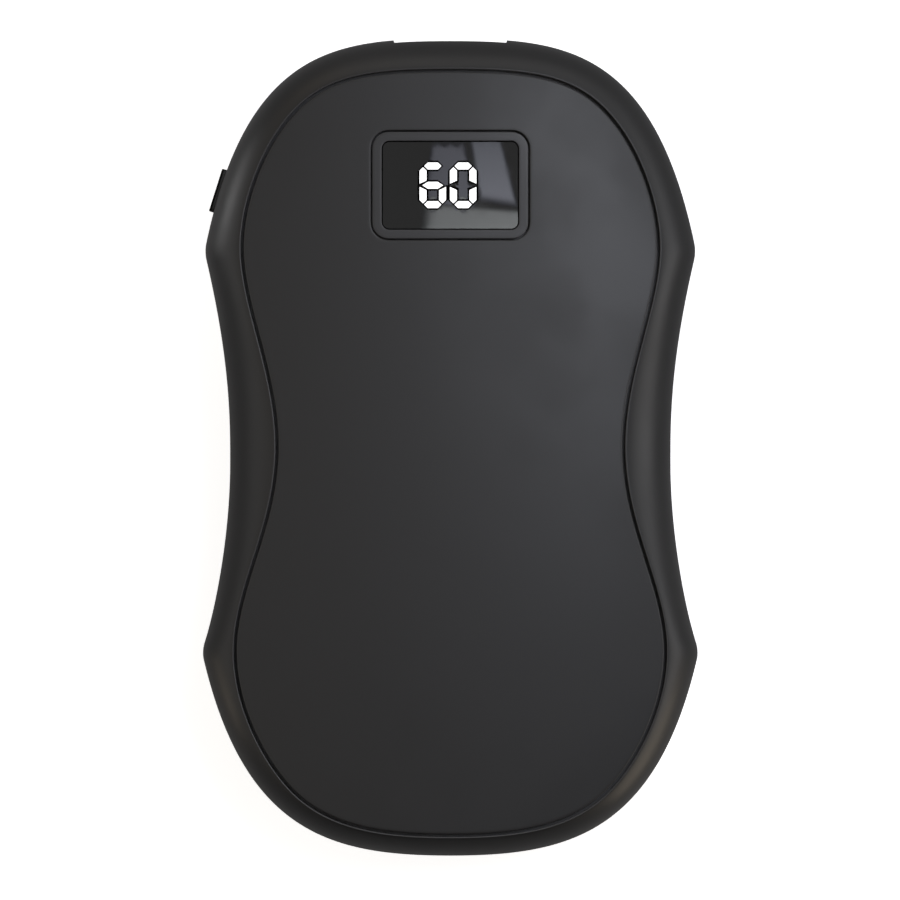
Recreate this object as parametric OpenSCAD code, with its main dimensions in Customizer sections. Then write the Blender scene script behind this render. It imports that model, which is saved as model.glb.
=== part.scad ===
// Rechargeable hand warmer: a peanut-shaped body with a crowned cover on each side of a one-piece rim.
// It lies on its back: X to the right, Y towards the port end, Z out of the display.
// The origin is the middle of the outline, on the rest face. All lengths are in millimetres.

/* [Body] */
// Length from the lower end to the port end
body_l = 105; // [100:1:112]
// Thickness from the rest face to the top of the front crown
body_t = 26; // [25:0.5:30]
// Width across the lower corners, before they are rounded
body_w = 63.9; // [62:0.1:68]
// How much further in each upper corner lies
upper_in = 0.35; // [0:0.05:1]
// How much further in each side of the waist lies
waist_in = 3.65; // [2.5:0.05:4.5]
// How far the upper corners lie below the port end
upper_from_top = 27.4; // [26:0.1:29]
// How far the waist lies below the middle
waist_y = 2; // [0:0.1:4]
// How far the lower corners lie above the lower end
lower_from_end = 26.3; // [25:0.1:28]
// Length of outline that each corner's rounding takes, on each side of it
corner_trim = 1.2; // [0.8:0.1:3]
// Radius of both crowns across the body
crown_across_r = 166; // [140:1:220]
// Radius of both crowns along the body
crown_along_r = 462; // [400:1:600]
// How much of the rear crown is cut flat, to rest on
rest_cut = 0.5; // [0.3:0.1:0.7]

/* [Rim] */
// Width of the rim at the port end, from the seam outwards
rim_top = 4.26; // [3.5:0.02:5]
// Width of the rim beside the upper corners
rim_upper = 4.92; // [4:0.02:5.5]
// Width of the rim at the waist
rim_waist = 6.1; // [5:0.05:7]
// Width of the rim beside the lower corners
rim_lower = 4.37; // [4:0.01:5.5]
// Width of the rim at the lower end
rim_bottom = 2.74; // [2.4:0.02:4]
// How far the seam's upper wide place lies above the upper corners
seam_upper_rise = 0.5; // [0:0.1:1.5]
// How far the seam's waist lies above the body's waist
seam_waist_rise = 2.1; // [0.5:0.1:2.5]
// Width of the groove along the seam
groove_w = 0.4; // [0.2:0.05:0.6]
// Bevel along the rim's edge of the groove
groove_bevel = 0.15; // [0.1:0.05:0.25]
// Wall of the rim at its widest place
rim_wall = 2; // [1.6:0.1:2.4]
// How far the ledge that carries a cover reaches inside the seam
ledge_w = 1; // [0.8:0.1:1.4]
// Thickness of that ledge
ledge_t = 1.4; // [1.2:0.1:1.8]

/* [Covers] */
// Wall of both covers
cover_t = 1.6; // [1.4:0.1:2]
// Length of each snap hook along the seam
hook_l = 4; // [3:0.5:6]
// Thickness of each snap hook
hook_t = 1; // [0.8:0.1:1.2]
// How far each hook's barb stands out
barb_w = 0.7; // [0.6:0.05:0.8]
// Height of each hook's barb
barb_h = 1; // [0.8:0.1:1.2]
// Radius of the screw posts inside the front cover
post_r = 2; // [1.8:0.1:2.1]

/* [Display] */
// How far the display's middle lies below the port end
display_from_top = 18.96; // [18:0.02:19.5]
// Width of the bezel
bezel_w = 19.95; // [19:0.01:22]
// Length of the bezel along the body
bezel_l = 13.67; // [13:0.01:15]
// Corner radius of the bezel
bezel_r = 2.1; // [1.5:0.1:3]
// Gap round the bezel
bezel_gap = 0.2; // [0.1:0.05:0.3]
// Height of the bezel through the cover
bezel_h = 2.4; // [2.2:0.1:2.8]
// How far the bezel's flange reaches under the cover
bezel_flange = 1.1; // [0.8:0.1:1.4]
// Width of the bezel beside the window
bezel_side_w = 1.18; // [1:0.02:1.6]
// Width of the bezel above and below the window
bezel_end_w = 1.14; // [1:0.02:1.6]
// Corner radius of the window
window_r = 1; // [0.5:0.1:1.5]
// How far the lens lies below the bezel
lens_recess = 0.12; // [0.05:0.01:0.3]
// Thickness of the lens
lens_t = 1; // [0.8:0.1:1.2]
// Width of the bezel's ledge under the lens
lens_ledge = 0.65; // [0.5:0.05:0.8]
// Height of the digit module
housing_h = 6; // [5:0.1:6.4]
// Width of one digit
digit_w = 3.53; // [3.2:0.01:3.8]
// Height of one digit
digit_h = 5.98; // [5.5:0.02:6.5]
// Gap between the two digits
digit_gap = 0.36; // [0.3:0.02:0.6]
// How far the pair of digits lies to the left of the window's middle
digits_left = 0.3; // [0:0.1:0.5]
// Width of each segment's stroke
stroke_w = 1.03; // [0.8:0.01:1.1]

/* [Button] */
// How far the button's middle lies below the port end
button_from_top = 19.6; // [18.8:0.1:20.2]
// Length of the button along the rim
button_l = 5.73; // [5:0.01:6.5]
// Height of the button
button_h = 3.4; // [3:0.1:4]
// How far the button stands out of the rim
button_out = 0.55; // [0.45:0.05:0.7]
// Travel of the button
button_travel = 0.3; // [0.2:0.05:0.35]
// Running gap round the button
slide_gap = 0.12; // [0.1:0.01:0.15]

/* [Port] */
// Width of the inset plate round the port
port_w = 14.3; // [13:0.1:15]
// Height of that plate, as a share of the body's thickness
port_h_share = 0.41; // [0.38:0.001:0.43]
// How far the plate lies below the rim's surface
port_recess = 0.33; // [0.1:0.01:0.4]
// Width of the socket's shell
socket_w = 8.94; // [8.9:0.01:9]
// Height of the socket's shell
socket_h = 3.26; // [3.2:0.01:3.3]
// Length of the socket's shell
socket_l = 7.3; // [7:0.1:7.5]
// Wall of the socket's shell
socket_wall = 0.3; // [0.25:0.01:0.35]

/* [Cell] */
// How far the rechargeable cell lies below the top and above the rest face
cell_depth = 7.5; // [7.3:0.1:8.5]
// How far the cell's lower end lies above the body's lower end
cell_from_end = 12.3; // [11.5:0.1:14]
// Gap between the cell's tray and the rim's ledge at the waist
tray_gap = 0.45; // [0.3:0.05:1]
// How far the main board's lower edge lies below the port end
board_from_top = 27.6; // [27:0.1:28]
// Thickness of each heat spreader
spreader_t = 0.4; // [0.3:0.05:0.6]
// Thickness of each heater film
film_t = 0.2; // [0.15:0.05:0.3]
// Thickness of the main board
board_t = 1.2; // [1:0.1:1.6]

/* [Hidden] */

// One length by which every cut runs past what it cuts
overrun = 1;
// Gap between pieces that are bonded or seated face to face
seat_gap = 0.02;
// Gap round pieces that drop into place
fit_gap = 0.1;
// Gap round loose pieces
loose_gap = 0.3;

// Numbers of sides on round things, and of steps along curves
crown_fn = 720;
round_fn = 32;
corner_steps = 6;
trace_steps = 40;
seam_steps = 9;
long_steps = 14;
short_steps = 8;
bend_steps = 4;
edge_steps = 8;

// Height of the plane that the silhouette lies in
z_mid = body_t / 2;
// Widths and places that follow from the body's two ends and its sides
upper_w = body_w - 2 * upper_in;
waist_w = body_w - 2 * waist_in;
upper_y = body_l / 2 - upper_from_top;
lower_y = body_l / 2 - lower_from_end;
display_y = body_l / 2 - display_from_top;
button_y = body_l / 2 - button_from_top;
board_y0 = body_l / 2 - board_from_top;
// Tops of the two crowns, the rear one measured downwards
front_apex = body_t;
rear_apex = rest_cut;

// Handle lengths at both ends of each stretch of outline, as shares of the stretch: first the body's
// four stretches down its right side, then the seam's six
body_handle_shares = [[0.351, 0.643], [0.518, 0.209], [0.372, 0.215], [0.583, 0.369]];
seam_handle_shares = [
    [0.44, 0.291], [0.322, 0.299], [0.287, 0.367], [0.384, 0.313], [0.372, 0.254], [0.34, 0.355]
];
// How the outline leans from straight down where each stretch starts and ends
body_leans = [[90, 11.2], [-13.5, 0], [0, 19.5], [-12.5, -90]];
seam_leans = [[90, 52.4], [52.4, 0], [0, 0], [0, 0], [0, -46], [-46, -90]];
// The seam's shoulder and hip, as shares of the width and height of the lobe that each rounds
shoulder_share = [0.681, 0.838];
hip_share = [0.722, 0.769];
// Powers of the curve that falls from the seam to the silhouette: it slopes from the start, and turns
// down in a tight bend before an upright side
rim_out_power = 1.2;
rim_up_power = 3.4;
// How strongly the places along that curve crowd towards the upright side
rim_crowding = 1.8;

// A point on a cubic curve, and its direction there
function on_curve(c, t) =
    pow(1 - t, 3) * c[0] + 3 * pow(1 - t, 2) * t * c[1] + 3 * (1 - t) * t * t * c[2] + pow(t, 3) * c[3];
function along_curve(c, t) =
    pow(1 - t, 2) * (c[1] - c[0]) + 2 * (1 - t) * t * (c[2] - c[1]) + t * t * (c[3] - c[2]);
function unit(v) = v / norm(v);
// The direction down the right side, leaning outwards by an angle
function down(lean) = [sin(lean), -cos(lean)];

// Cubic curves down the right side, from its places, its handle shares and its leans
function side_curves(p, h, lean) = [
    for (i = [0:len(h) - 1])
        let (reach = norm(p[i + 1] - p[i]))
        [
            p[i], p[i] + h[i][0] * reach * down(lean[i][0]),
            p[i + 1] - h[i][1] * reach * down(lean[i][1]), p[i + 1]
        ]
];

body_places = [
    [0, body_l / 2], [upper_w / 2, upper_y], [waist_w / 2, -waist_y],
    [body_w / 2, -lower_y], [0, -body_l / 2]
];
seam_top = [0, body_l / 2 - rim_top];
seam_upper = [upper_w / 2 - rim_upper, upper_y + seam_upper_rise];
seam_waist = [waist_w / 2 - rim_waist, seam_waist_rise - waist_y];
seam_lower = [body_w / 2 - rim_lower, -lower_y];
seam_bottom = [0, rim_bottom - body_l / 2];
function between(a, b, share) = [a.x * share.x, a.y + (b.y - a.y) * share.y];
seam_places = [
    seam_top, between(seam_upper, seam_top, shoulder_share), seam_upper, seam_waist,
    seam_lower, between(seam_lower, seam_bottom, hip_share), seam_bottom
];
body_curves = side_curves(body_places, body_handle_shares, body_leans);
seam_curves = side_curves(seam_places, seam_handle_shares, seam_leans);

// Points on a curve from one share of it to another, leaving out the first
function stretch(c, from, to, steps) =
    [for (i = [1:steps]) on_curve(c, from + (to - from) * i / steps)];
// A rounded corner between the end of one curve and the start of the next
function rounding(a, b, trim_a, trim_b) =
    let (start = on_curve(a, 1 - trim_a), end = on_curve(b, trim_b))
    [
        for (i = [1:bend_steps])
            let (t = i / bend_steps)
            pow(1 - t, 2) * start + 2 * t * (1 - t) * a[3] + t * t * end
    ];
// The share of a curve that a corner's rounding takes at its start or end
function trim_at_start(c) = corner_trim / (3 * norm(c[1] - c[0]));
function trim_at_end(c) = corner_trim / (3 * norm(c[3] - c[2]));

in_upper = trim_at_end(body_curves[0]);
out_upper = trim_at_start(body_curves[1]);
in_lower = trim_at_end(body_curves[2]);
out_lower = trim_at_start(body_curves[3]);
// The right side of the body's outline, from the port end to the lower end
body_side = concat(
    [body_places[0]],
    stretch(body_curves[0], 0, 1 - in_upper, long_steps),
    rounding(body_curves[0], body_curves[1], in_upper, out_upper),
    stretch(body_curves[1], out_upper, 1, short_steps),
    stretch(body_curves[2], 0, 1 - in_lower, short_steps),
    rounding(body_curves[2], body_curves[3], in_lower, out_lower),
    stretch(body_curves[3], out_lower, 1, long_steps)
);

// Both outlines are matched by one number that falls all the way down the side: the height between
// the seam's two wide places, and beyond them the angle about a centre on the middle line.
function match(p) =
    p.y > seam_upper.y ? seam_upper.y + atan2(p.y - seam_upper.y, p.x)
    : p.y < seam_lower.y ? seam_lower.y - atan2(seam_lower.y - p.y, p.x)
    : p.y;
function outward(c, t) = let (v = unit(along_curve(c, t))) [-v.y, v.x];
// Finely spaced places on the seam, each with its matching number, point and outward direction
seam_trace = [
    for (c = seam_curves) for (i = [0:trace_steps])
        let (t = i / trace_steps, p = on_curve(c, t))
        [match(p), p, outward(c, t)]
];
seam_x_by_match = [for (s = seam_trace) [s[0], s[1].x]];
seam_y_by_match = [for (s = seam_trace) [s[0], s[1].y]];
seam_nx_by_match = [for (s = seam_trace) [s[0], s[2].x]];
seam_ny_by_match = [for (s = seam_trace) [s[0], s[2].y]];

// Where the rim is cut across: a point on the silhouette, its match on the seam, and the way out there
stations_right = [
    for (p = body_side)
        let (m = match(p))
        [
            p,
            [lookup(m, seam_x_by_match), lookup(m, seam_y_by_match)],
            unit([lookup(m, seam_nx_by_match), lookup(m, seam_ny_by_match)])
        ]
];
function mirrored(p) = [-p.x, p.y];
last_right = len(stations_right) - 1;
stations = concat(
    stations_right,
    [for (i = [last_right - 1:-1:1]) [for (p = stations_right[i]) mirrored(p)]]
);

// Height of a crown's surface, some way under its outside
function crown_z(apex, p, inset) =
    let (across = sqrt(pow(crown_across_r - inset, 2) - p.x * p.x))
    let (sweep = crown_along_r - crown_across_r + across)
    apex - crown_along_r + sqrt(sweep * sweep - p.y * p.y);

// The seam's outline, moved outwards by some distance
seam_right = [
    for (c = seam_curves) for (i = [0:seam_steps - 1])
        [on_curve(c, i / seam_steps), outward(c, i / seam_steps)]
];
seam_end = [seam_bottom, [0, -1]];
function seam_outline(distance) =
    let (right = [for (s = concat(seam_right, [seam_end])) s[0] + distance * s[1]])
    concat(right, [for (i = [len(right) - 2:-1:1]) mirrored(right[i])]);

// Rounded rectangle and round-ended slot, as outlines round the origin
function rounded_rect(w, l, r) = [
    for (c = [[1, 1, 0], [-1, 1, 90], [-1, -1, 180], [1, -1, 270]]) for (i = [0:corner_steps])
        let (a = c[2] + 90 * i / corner_steps)
        [c[0] * (w / 2 - r) + r * cos(a), c[1] * (l / 2 - r) + r * sin(a)]
];
function round_slot(w, h) = [
    for (side = [1, -1]) for (i = [0:round_fn / 2])
        let (a = 180 * i / (round_fn / 2) - 90)
        side * [w / 2 - h / 2 + h / 2 * cos(a), h / 2 * sin(a)]
];

// An outline raised from one height to another
module slab(low, high) {
    translate([0, 0, low]) linear_extrude(high - low) children();
}
// An outline given across and upwards, drawn out along Y or along X
module along_y(low, high) {
    translate([0, high, 0]) rotate([90, 0, 0]) linear_extrude(high - low) children();
}
module along_x(low, high) {
    translate([low, 0, 0]) rotate([90, 0, 90]) linear_extrude(high - low) children();
}

// The solid under a doubly curved surface: an arc of one radius swept about Z at another radius
module swept_cap(sweep_r, arc_r, depth, half_w, half_l) {
    half_angle = asin(half_l / (sweep_r - depth));
    rotate_extrude(angle = 2 * half_angle, start = 90 - half_angle, $fn = crown_fn)
        intersection() {
            translate([sweep_r - arc_r, 0]) circle(r = arc_r, $fn = crown_fn);
            translate([sweep_r - depth, -half_w]) square([depth + overrun, 2 * half_w]);
        }
}
// Everything under a crown, some way below its outside
module under_crown(apex, inset) {
    translate([0, 0, apex - crown_along_r])
        rotate([90, 0, 90])
            swept_cap(crown_along_r - inset, crown_across_r - inset, body_t,
                      body_w / 2 + overrun, body_l / 2 + overrun);
}
// The children between two depths under a crown
module in_crown(apex, outer, inner) {
    intersection() {
        children();
        difference() {
            under_crown(apex, outer);
            under_crown(apex, inner);
        }
    }
}
// The other way up, for the pieces of the rear side
module rear_side() {
    mirror([0, 0, 1]) children();
}

// Cell and tray: places and small sizes
tray_t = 1;
tray_wall = 1;
tray_wall_h = 4.6;
tray_r = 3;
cell_r = 1.6;
seal_l = 3.7;
seal_t = 0.3;
ear_r = 2.6;
ear_lift = 1.4;
ear_in = 1.4;
upper_ear_in = 1.8;
// Room between the tray's upper end and the main board
board_margin = 4.9;
cell_t = body_t - 2 * cell_depth;
cell_z0 = cell_depth;
cell_y0 = cell_from_end - body_l / 2;
tray_floor_top = cell_z0 - fit_gap;
tray_low = tray_floor_top - tray_t;
tray_w = 2 * (seam_waist.x - ledge_w - tray_gap);
tray_y0 = cell_y0 - loose_gap - tray_wall;
tray_y1 = board_y0 - board_margin;
// The cell fills the tray, its sealed end towards the board
cell_w = tray_w - 2 * (loose_gap + tray_wall);
cell_l = tray_y1 - tray_wall - loose_gap - seal_l - cell_y0;
// The ears stand in from the rim's ledge: beside the tray in the lower wide place, and past its end
lower_ear_x = seam_lower.x - ledge_w - ear_in - post_r;
upper_ear_x = seam_upper.x - ledge_w - upper_ear_in - post_r;
tray_screw_places = [
    for (side = [-1, 1]) each [
        [side * lower_ear_x, seam_lower.y - hook_l / 2 - post_r - ear_lift],
        [side * upper_ear_x, tray_y1 + post_r + fit_gap + seat_gap]
    ]
];
rest_w = 4;
rest_x = 11;

// Port: places and small sizes
port_r = 0.4;
port_h = port_h_share * body_t;
port_face_r = 105;
port_face_up_r = 260;
port_flange_margin = 1.2;
port_flange_w = port_w + 2 * port_flange_margin;
// The plate's flange fills the height between the two ledges, behind a seat one wall inside the rim
port_flange_top = front_z([0, seam_top.y - ledge_w], cover_t + 2 * ledge_t) - loose_gap;
port_flange_h = 2 * (port_flange_top - z_mid);
rim_y_by_x = [for (i = [0:long_steps]) [body_side[i].x, body_side[i].y]];
port_seat = lookup(port_flange_w / 2, rim_y_by_x) - rim_wall;
port_flange_t = 0.8;
port_flange_y = port_seat - fit_gap - port_flange_t;
socket_gap = 0.15;
socket_recess = 0.5;
socket_front = body_l / 2 - port_recess - socket_recess;

// Main board: places
board_top = z_mid - socket_h / 2 - seat_gap;
board_low = board_top - board_t;
board_inset = 1.8;
board_end = seam_top.y - board_inset;
board_w = 2 * (seam_upper.x - board_inset);
board_l = board_end - board_y0;
board_tongue_w = 15;
board_tongue_end = port_flange_y - loose_gap;
// Places on the board, as shares of its width from the middle and of its length from its lower edge
side_screw_share = [0.434, 0.155];
top_screw_share = 0.75;
chip_share = [-0.3, 0.5];
socket_chip_share = 0.83;
inductor_share = [0.29, 0.49];
connector_share = [0.29, 0.155];
capacitor_shares = [[-0.34, 0.32], [-0.34, 0.2]];
top_capacitor_share = 0.9;
function on_board(share) = [share.x * board_w, board_y0 + share.y * board_l];
// Two of the board's screws stand beside the display's bezel
bezel_side = bezel_w / 2 + bezel_flange;
top_post_gap = 1.3;
top_post_x = bezel_side + top_post_gap + post_r;
top_post_y = board_y0 + top_screw_share * board_l;
board_screw_places = [
    on_board(side_screw_share), [-top_post_x, top_post_y], [top_post_x, top_post_y]
];

// Rim

// The rounded surface from a point by the seam out to the silhouette, as shares of width and height
function rim_arc(edge, p, z_edge) = [
    for (i = [0:edge_steps])
        let (a = 90 * (1 - pow(1 - i / edge_steps, rim_crowding)))
        let (out = pow(sin(a), 2 / rim_out_power), up = pow(cos(a), 2 / rim_up_power))
        let (q = edge + (p - edge) * out)
        [q.x, q.y, z_mid + (z_edge - z_mid) * up]
];
function at(p, z) = [p.x, p.y, z];
function front_z(p, inset) = crown_z(front_apex, p, inset);
function rear_z(p, inset) = -crown_z(rear_apex, p, inset);
// One cut across the rim, all the way round its section
function rim_section(s) =
    let (p = s[0], q = s[1], n = s[2])
    let (lip = q + groove_w / 2 * n, bevel = lip + groove_bevel * n, ledge = q - ledge_w * n)
    let (wall = p - rim_wall * unit(p - q), seat = cover_t + seat_gap)
    let (front = rim_arc(bevel, p, front_z(bevel, 0)), rear = rim_arc(bevel, p, rear_z(bevel, 0)))
    concat(
        [at(lip, front_z(lip, seat)), at(lip, front_z(lip, groove_bevel))],
        front,
        [for (i = [edge_steps - 1:-1:0]) rear[i]],
        [at(lip, rear_z(lip, groove_bevel)), at(lip, rear_z(lip, seat))],
        [at(ledge, rear_z(ledge, seat)), at(ledge, rear_z(ledge, seat + ledge_t))],
        [at(wall, rear_z(ledge, seat + 2 * ledge_t)), at(wall, front_z(ledge, seat + 2 * ledge_t))],
        [at(ledge, front_z(ledge, seat + ledge_t)), at(ledge, front_z(ledge, seat))]
    );

module rim_ring() {
    sections = [for (s = stations) rim_section(s)];
    count = len(sections);
    around = len(sections[0]);
    faces = [
        for (i = [0:count - 1]) for (j = [0:around - 1])
            let (a = i * around, b = ((i + 1) % count) * around, k = (j + 1) % around)
            each [[a + j, b + k, b + j], [a + j, a + k, b + k]]
    ];
    polyhedron(points = [for (s = sections) each s], faces = faces, convexity = 6);
}

module mid_frame() {
    color([0.16, 0.16, 0.17]) difference() {
        union() {
            rim_ring();
            at_button() along_x(-button_seat, -button_seat + pad_depth)
                square([flange_l + pad_margin, flange_h + pad_margin], center = true);
            translate([0, 0, z_mid]) along_y(port_seat, port_seat + pad_depth)
                square([port_flange_w + pad_margin, port_flange_h + pad_margin], center = true);
        }
        at_button() along_x(-button_seat - overrun, button_out + overrun)
            polygon(rounded_rect(button_l + 2 * slide_gap, button_h + 2 * slide_gap, button_r));
        translate([0, 0, z_mid]) along_y(port_seat - overrun, body_l / 2 + overrun)
            polygon(rounded_rect(port_w + 2 * fit_gap, port_h + 2 * fit_gap, port_r));
    }
}

// Covers

// Where the snap hooks stand: the port end, both wide places and the waist on both sides, and the
// lower end, each with the way out there
hook_places = concat(
    [[seam_top, 90], [seam_bottom, -90]],
    [for (p = [seam_upper, seam_waist, seam_lower]) each [[p, 0], [mirrored(p), 180]]]
);
// How far inside the seam a hook's outer face lies
hook_in = ledge_w + loose_gap;
// Extra room over a barb, because the ledge falls along the hook's length
barb_slack = 0.25;

module hook(apex, place) {
    foot = place[0] - (hook_in + hook_t / 2) * [cos(place[1]), sin(place[1])];
    root = crown_z(apex, foot, cover_t / 2);
    barb_top = crown_z(apex, place[0], cover_t + seat_gap + ledge_t + fit_gap) - barb_slack;
    translate([place[0].x, place[0].y, 0]) rotate([0, 0, place[1]]) along_y(-hook_l / 2, hook_l / 2)
        polygon([
            [-hook_in - hook_t, root], [-hook_in, root], [-hook_in, barb_top],
            [-hook_in + barb_w, barb_top], [-hook_in, barb_top - barb_h],
            [-hook_in - hook_t, barb_top - barb_h]
        ]);
}
module cover_shell(apex) {
    in_crown(apex, 0, cover_t) slab(apex - z_mid, apex + overrun)
        polygon(seam_outline(-groove_w / 2));
    for (place = hook_places) hook(apex, place);
}

// Screw posts: two at the tray's lower ears, two at its upper ears, and three at the board
module post(place, low) {
    translate([place.x, place.y, low])
        difference() {
            cylinder(h = front_z(place, cover_t / 2) - low, r = post_r, $fn = round_fn);
            translate([0, 0, -overrun])
                cylinder(h = pilot_depth + overrun, r = thread_r + seat_gap, $fn = round_fn);
        }
}

module front_cover() {
    color([0.15, 0.15, 0.16]) {
        difference() {
            cover_shell(front_apex);
            translate([0, display_y, 0]) slab(z_mid, front_apex + overrun)
                polygon(rounded_rect(bezel_w + 2 * bezel_gap, bezel_l + 2 * bezel_gap,
                                     bezel_r + bezel_gap));
        }
        for (place = tray_screw_places) post(place, tray_floor_top + seat_gap);
        for (place = board_screw_places) post(place, board_top + seat_gap);
    }
}

module rear_cover() {
    color([0.15, 0.15, 0.16]) rear_side() difference() {
        cover_shell(rear_apex);
        slab(0, overrun) square([body_w, body_l], center = true);
    }
}

// Display

// Depths under the crown: the lens's two faces and its ledge
lens_under = lens_recess + lens_t;
ledge_over = lens_under + seat_gap;
bezel_flange_over = cover_t + seat_gap;
window_w = bezel_w - 2 * bezel_side_w;
window_l = bezel_l - 2 * bezel_end_w;
opening_w = window_w - 2 * lens_ledge;
opening_l = window_l - 2 * lens_ledge;
// Under its ledge the bezel is flat, at the depth that its height has at the flange's lowest corner,
// and from there a skirt holds the digit module
low_corner = [bezel_side, display_y + bezel_l / 2 + bezel_flange];
bezel_low = front_z(low_corner, bezel_h);
gasket_t = 0.4;
skirt_h = 2;
// The digit module's outside is a little larger than the window
housing_w = window_w + lens_ledge;
housing_l = window_l + lens_ledge;
housing_top = bezel_low - gasket_t - 2 * seat_gap;
housing_low = housing_top - housing_h;
// The part of it that shows rises through the bezel, to just under the lens's lowest corner
face_top = front_z([opening_w / 2, display_y + opening_l / 2], lens_under) - fit_gap;

module at_display() {
    translate([0, display_y, 0]) children();
}
module display_bezel() {
    color([0.2, 0.2, 0.21]) difference() {
        union() {
            intersection() {
                under_crown(front_apex, 0);
                at_display() slab(bezel_low, front_apex + overrun)
                    polygon(rounded_rect(bezel_w, bezel_l, bezel_r));
            }
            intersection() {
                under_crown(front_apex, bezel_flange_over);
                at_display() slab(bezel_low - skirt_h, front_apex)
                    polygon(rounded_rect(bezel_w + 2 * bezel_flange, bezel_l + 2 * bezel_flange,
                                         bezel_r + bezel_flange));
            }
        }
        in_crown(front_apex, -overrun, ledge_over) at_display() slab(z_mid, front_apex + overrun)
            polygon(rounded_rect(window_w, window_l, window_r));
        at_display() slab(z_mid, front_apex + overrun)
            polygon(rounded_rect(opening_w, opening_l, window_r));
        at_display() slab(bezel_low - skirt_h - overrun, bezel_low)
            polygon(rounded_rect(housing_w + 2 * fit_gap, housing_l + 2 * fit_gap, window_r + fit_gap));
    }
}
module display_lens() {
    color([0.06, 0.06, 0.07, 0.6]) in_crown(front_apex, lens_recess, lens_under)
        at_display() slab(z_mid, front_apex + overrun)
            polygon(rounded_rect(window_w - fit_gap, window_l - fit_gap, window_r - fit_gap / 2));
}
module display_gasket() {
    color([0.05, 0.05, 0.05]) at_display()
        slab(housing_top + seat_gap, bezel_low - seat_gap) difference() {
            polygon(rounded_rect(housing_w, housing_l, window_r));
            polygon(rounded_rect(opening_w, opening_l, window_r));
        }
}

// Seven-segment strokes round the origin, with pointed ends, grown by some distance.
// Parts of a stroke's width: the pull-in of its tips, and how the middle stroke meets its neighbours.
tip_in_share = 0.08;
mid_gap_share = 0.13;
mid_slope_share = 0.53;
mid_tip_share = 0.35;
mid_flat_share = 1.1;
function flat_stroke(grow) =
    let (x = digit_w / 2 - stroke_w / 2 - tip_in_share * stroke_w + grow)
    let (y = digit_h / 2 - stroke_w / 2, half = stroke_w / 2 + grow)
    [
        [-x, y], [half - x, y + half], [x - half, y + half],
        [x, y], [x - half, y - half], [half - x, y - half]
    ];
function upright_stroke(grow) =
    let (x = digit_w / 2 - stroke_w / 2, half = stroke_w / 2 + grow)
    let (tip = digit_h / 2 - stroke_w / 2 - tip_in_share * stroke_w + grow)
    [
        [x, tip], [x + half, tip - half], [x + half, mid_gap_share * stroke_w - grow],
        [x - half, mid_slope_share * stroke_w - grow], [x - half, tip - half]
    ];
function middle_stroke(grow) =
    let (tip = digit_w / 2 - mid_tip_share * stroke_w + grow)
    let (flat = digit_w / 2 - mid_flat_share * stroke_w, half = stroke_w / 2 + grow)
    [[-tip, 0], [-flat, half], [flat, half], [tip, 0], [flat, -half], [-flat, -half]];
// Strokes a to g of a digit, in the usual order
function turned(shape, sx, sy) = [for (p = shape) [sx * p.x, sy * p.y]];
function stroke_shape(letter, grow) =
    letter == "a" ? flat_stroke(grow)
    : letter == "b" ? upright_stroke(grow)
    : letter == "c" ? turned(upright_stroke(grow), 1, -1)
    : letter == "d" ? turned(flat_stroke(grow), 1, -1)
    : letter == "e" ? turned(upright_stroke(grow), -1, -1)
    : letter == "f" ? turned(upright_stroke(grow), -1, 1)
    : middle_stroke(grow);
// The two digits, a six and a nought
lit_strokes = [["a", "c", "d", "e", "f", "g"], ["a", "b", "c", "d", "e", "f"]];
unlit_strokes = [["b"], ["g"]];
digit_pitch = digit_w + digit_gap;
stroke_depth = 0.6;
cell_grow = 0.02;

module strokes(letters, grow) {
    for (i = [0:1]) for (letter = letters[i])
        translate([(i - 1 / 2) * digit_pitch - digits_left, display_y])
            polygon(stroke_shape(letter, grow));
}
module display_housing() {
    color([0.04, 0.04, 0.04]) difference() {
        at_display() {
            slab(housing_low, housing_top) polygon(rounded_rect(housing_w, housing_l, window_r));
            slab(housing_low, face_top)
                polygon(rounded_rect(opening_w - 2 * fit_gap, opening_l - 2 * fit_gap, window_r));
        }
        slab(face_top - stroke_depth, face_top + overrun) strokes(lit_strokes, cell_grow);
        slab(face_top - stroke_depth, face_top + overrun) strokes(unlit_strokes, cell_grow);
    }
}
module digit_segments_lit() {
    color("white") slab(face_top - stroke_depth + seat_gap, face_top) strokes(lit_strokes, 0);
}
module digit_segments_unlit() {
    color([0.25, 0.25, 0.25]) slab(face_top - stroke_depth + seat_gap, face_top)
        strokes(unlit_strokes, 0);
}

// Two rows of pins carry the digit module on the board
pin_pitch = 2.54;
pin_r = 0.25;
pin_per_row = 5;
pin_row_in = 1.2;
pin_out = 0.8;
pin_places = [
    for (side = [-1, 1]) for (i = [0:pin_per_row - 1])
        [(i - (pin_per_row - 1) / 2) * pin_pitch, display_y + side * (housing_l / 2 - pin_row_in)]
];
module display_pins() {
    color([0.8, 0.8, 0.78]) for (p = pin_places)
        translate([p.x, p.y, board_low - pin_out])
            cylinder(h = housing_low - seat_gap - board_low + pin_out, r = pin_r, $fn = round_fn);
}

// Button and its switch

// The rim's outline by height, above the upper corners
rim_x_by_y = [for (i = [0:long_steps]) [body_side[i].y, body_side[i].x]];
button_x = lookup(button_y, rim_x_by_y);
button_ends = [
    for (y = [button_y - button_l / 2, button_y + button_l / 2]) [lookup(y, rim_x_by_y), y]
];
button_tilt = atan2(button_ends[0].x - button_ends[1].x, button_ends[1].y - button_ends[0].y);
button_r = 0.6;
button_bevel = 0.2;
flange_t = 0.7;
flange_margin = 0.8;
flange_l = button_l + 2 * flange_margin;
flange_h = button_h + 2 * flange_margin;
// Pads inside the rim give the button and the port plate a flat seat
pad_depth = 1.3;
pad_margin = 2;
button_seat_share = 1.3;
button_seat = button_seat_share * rim_wall;
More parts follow.
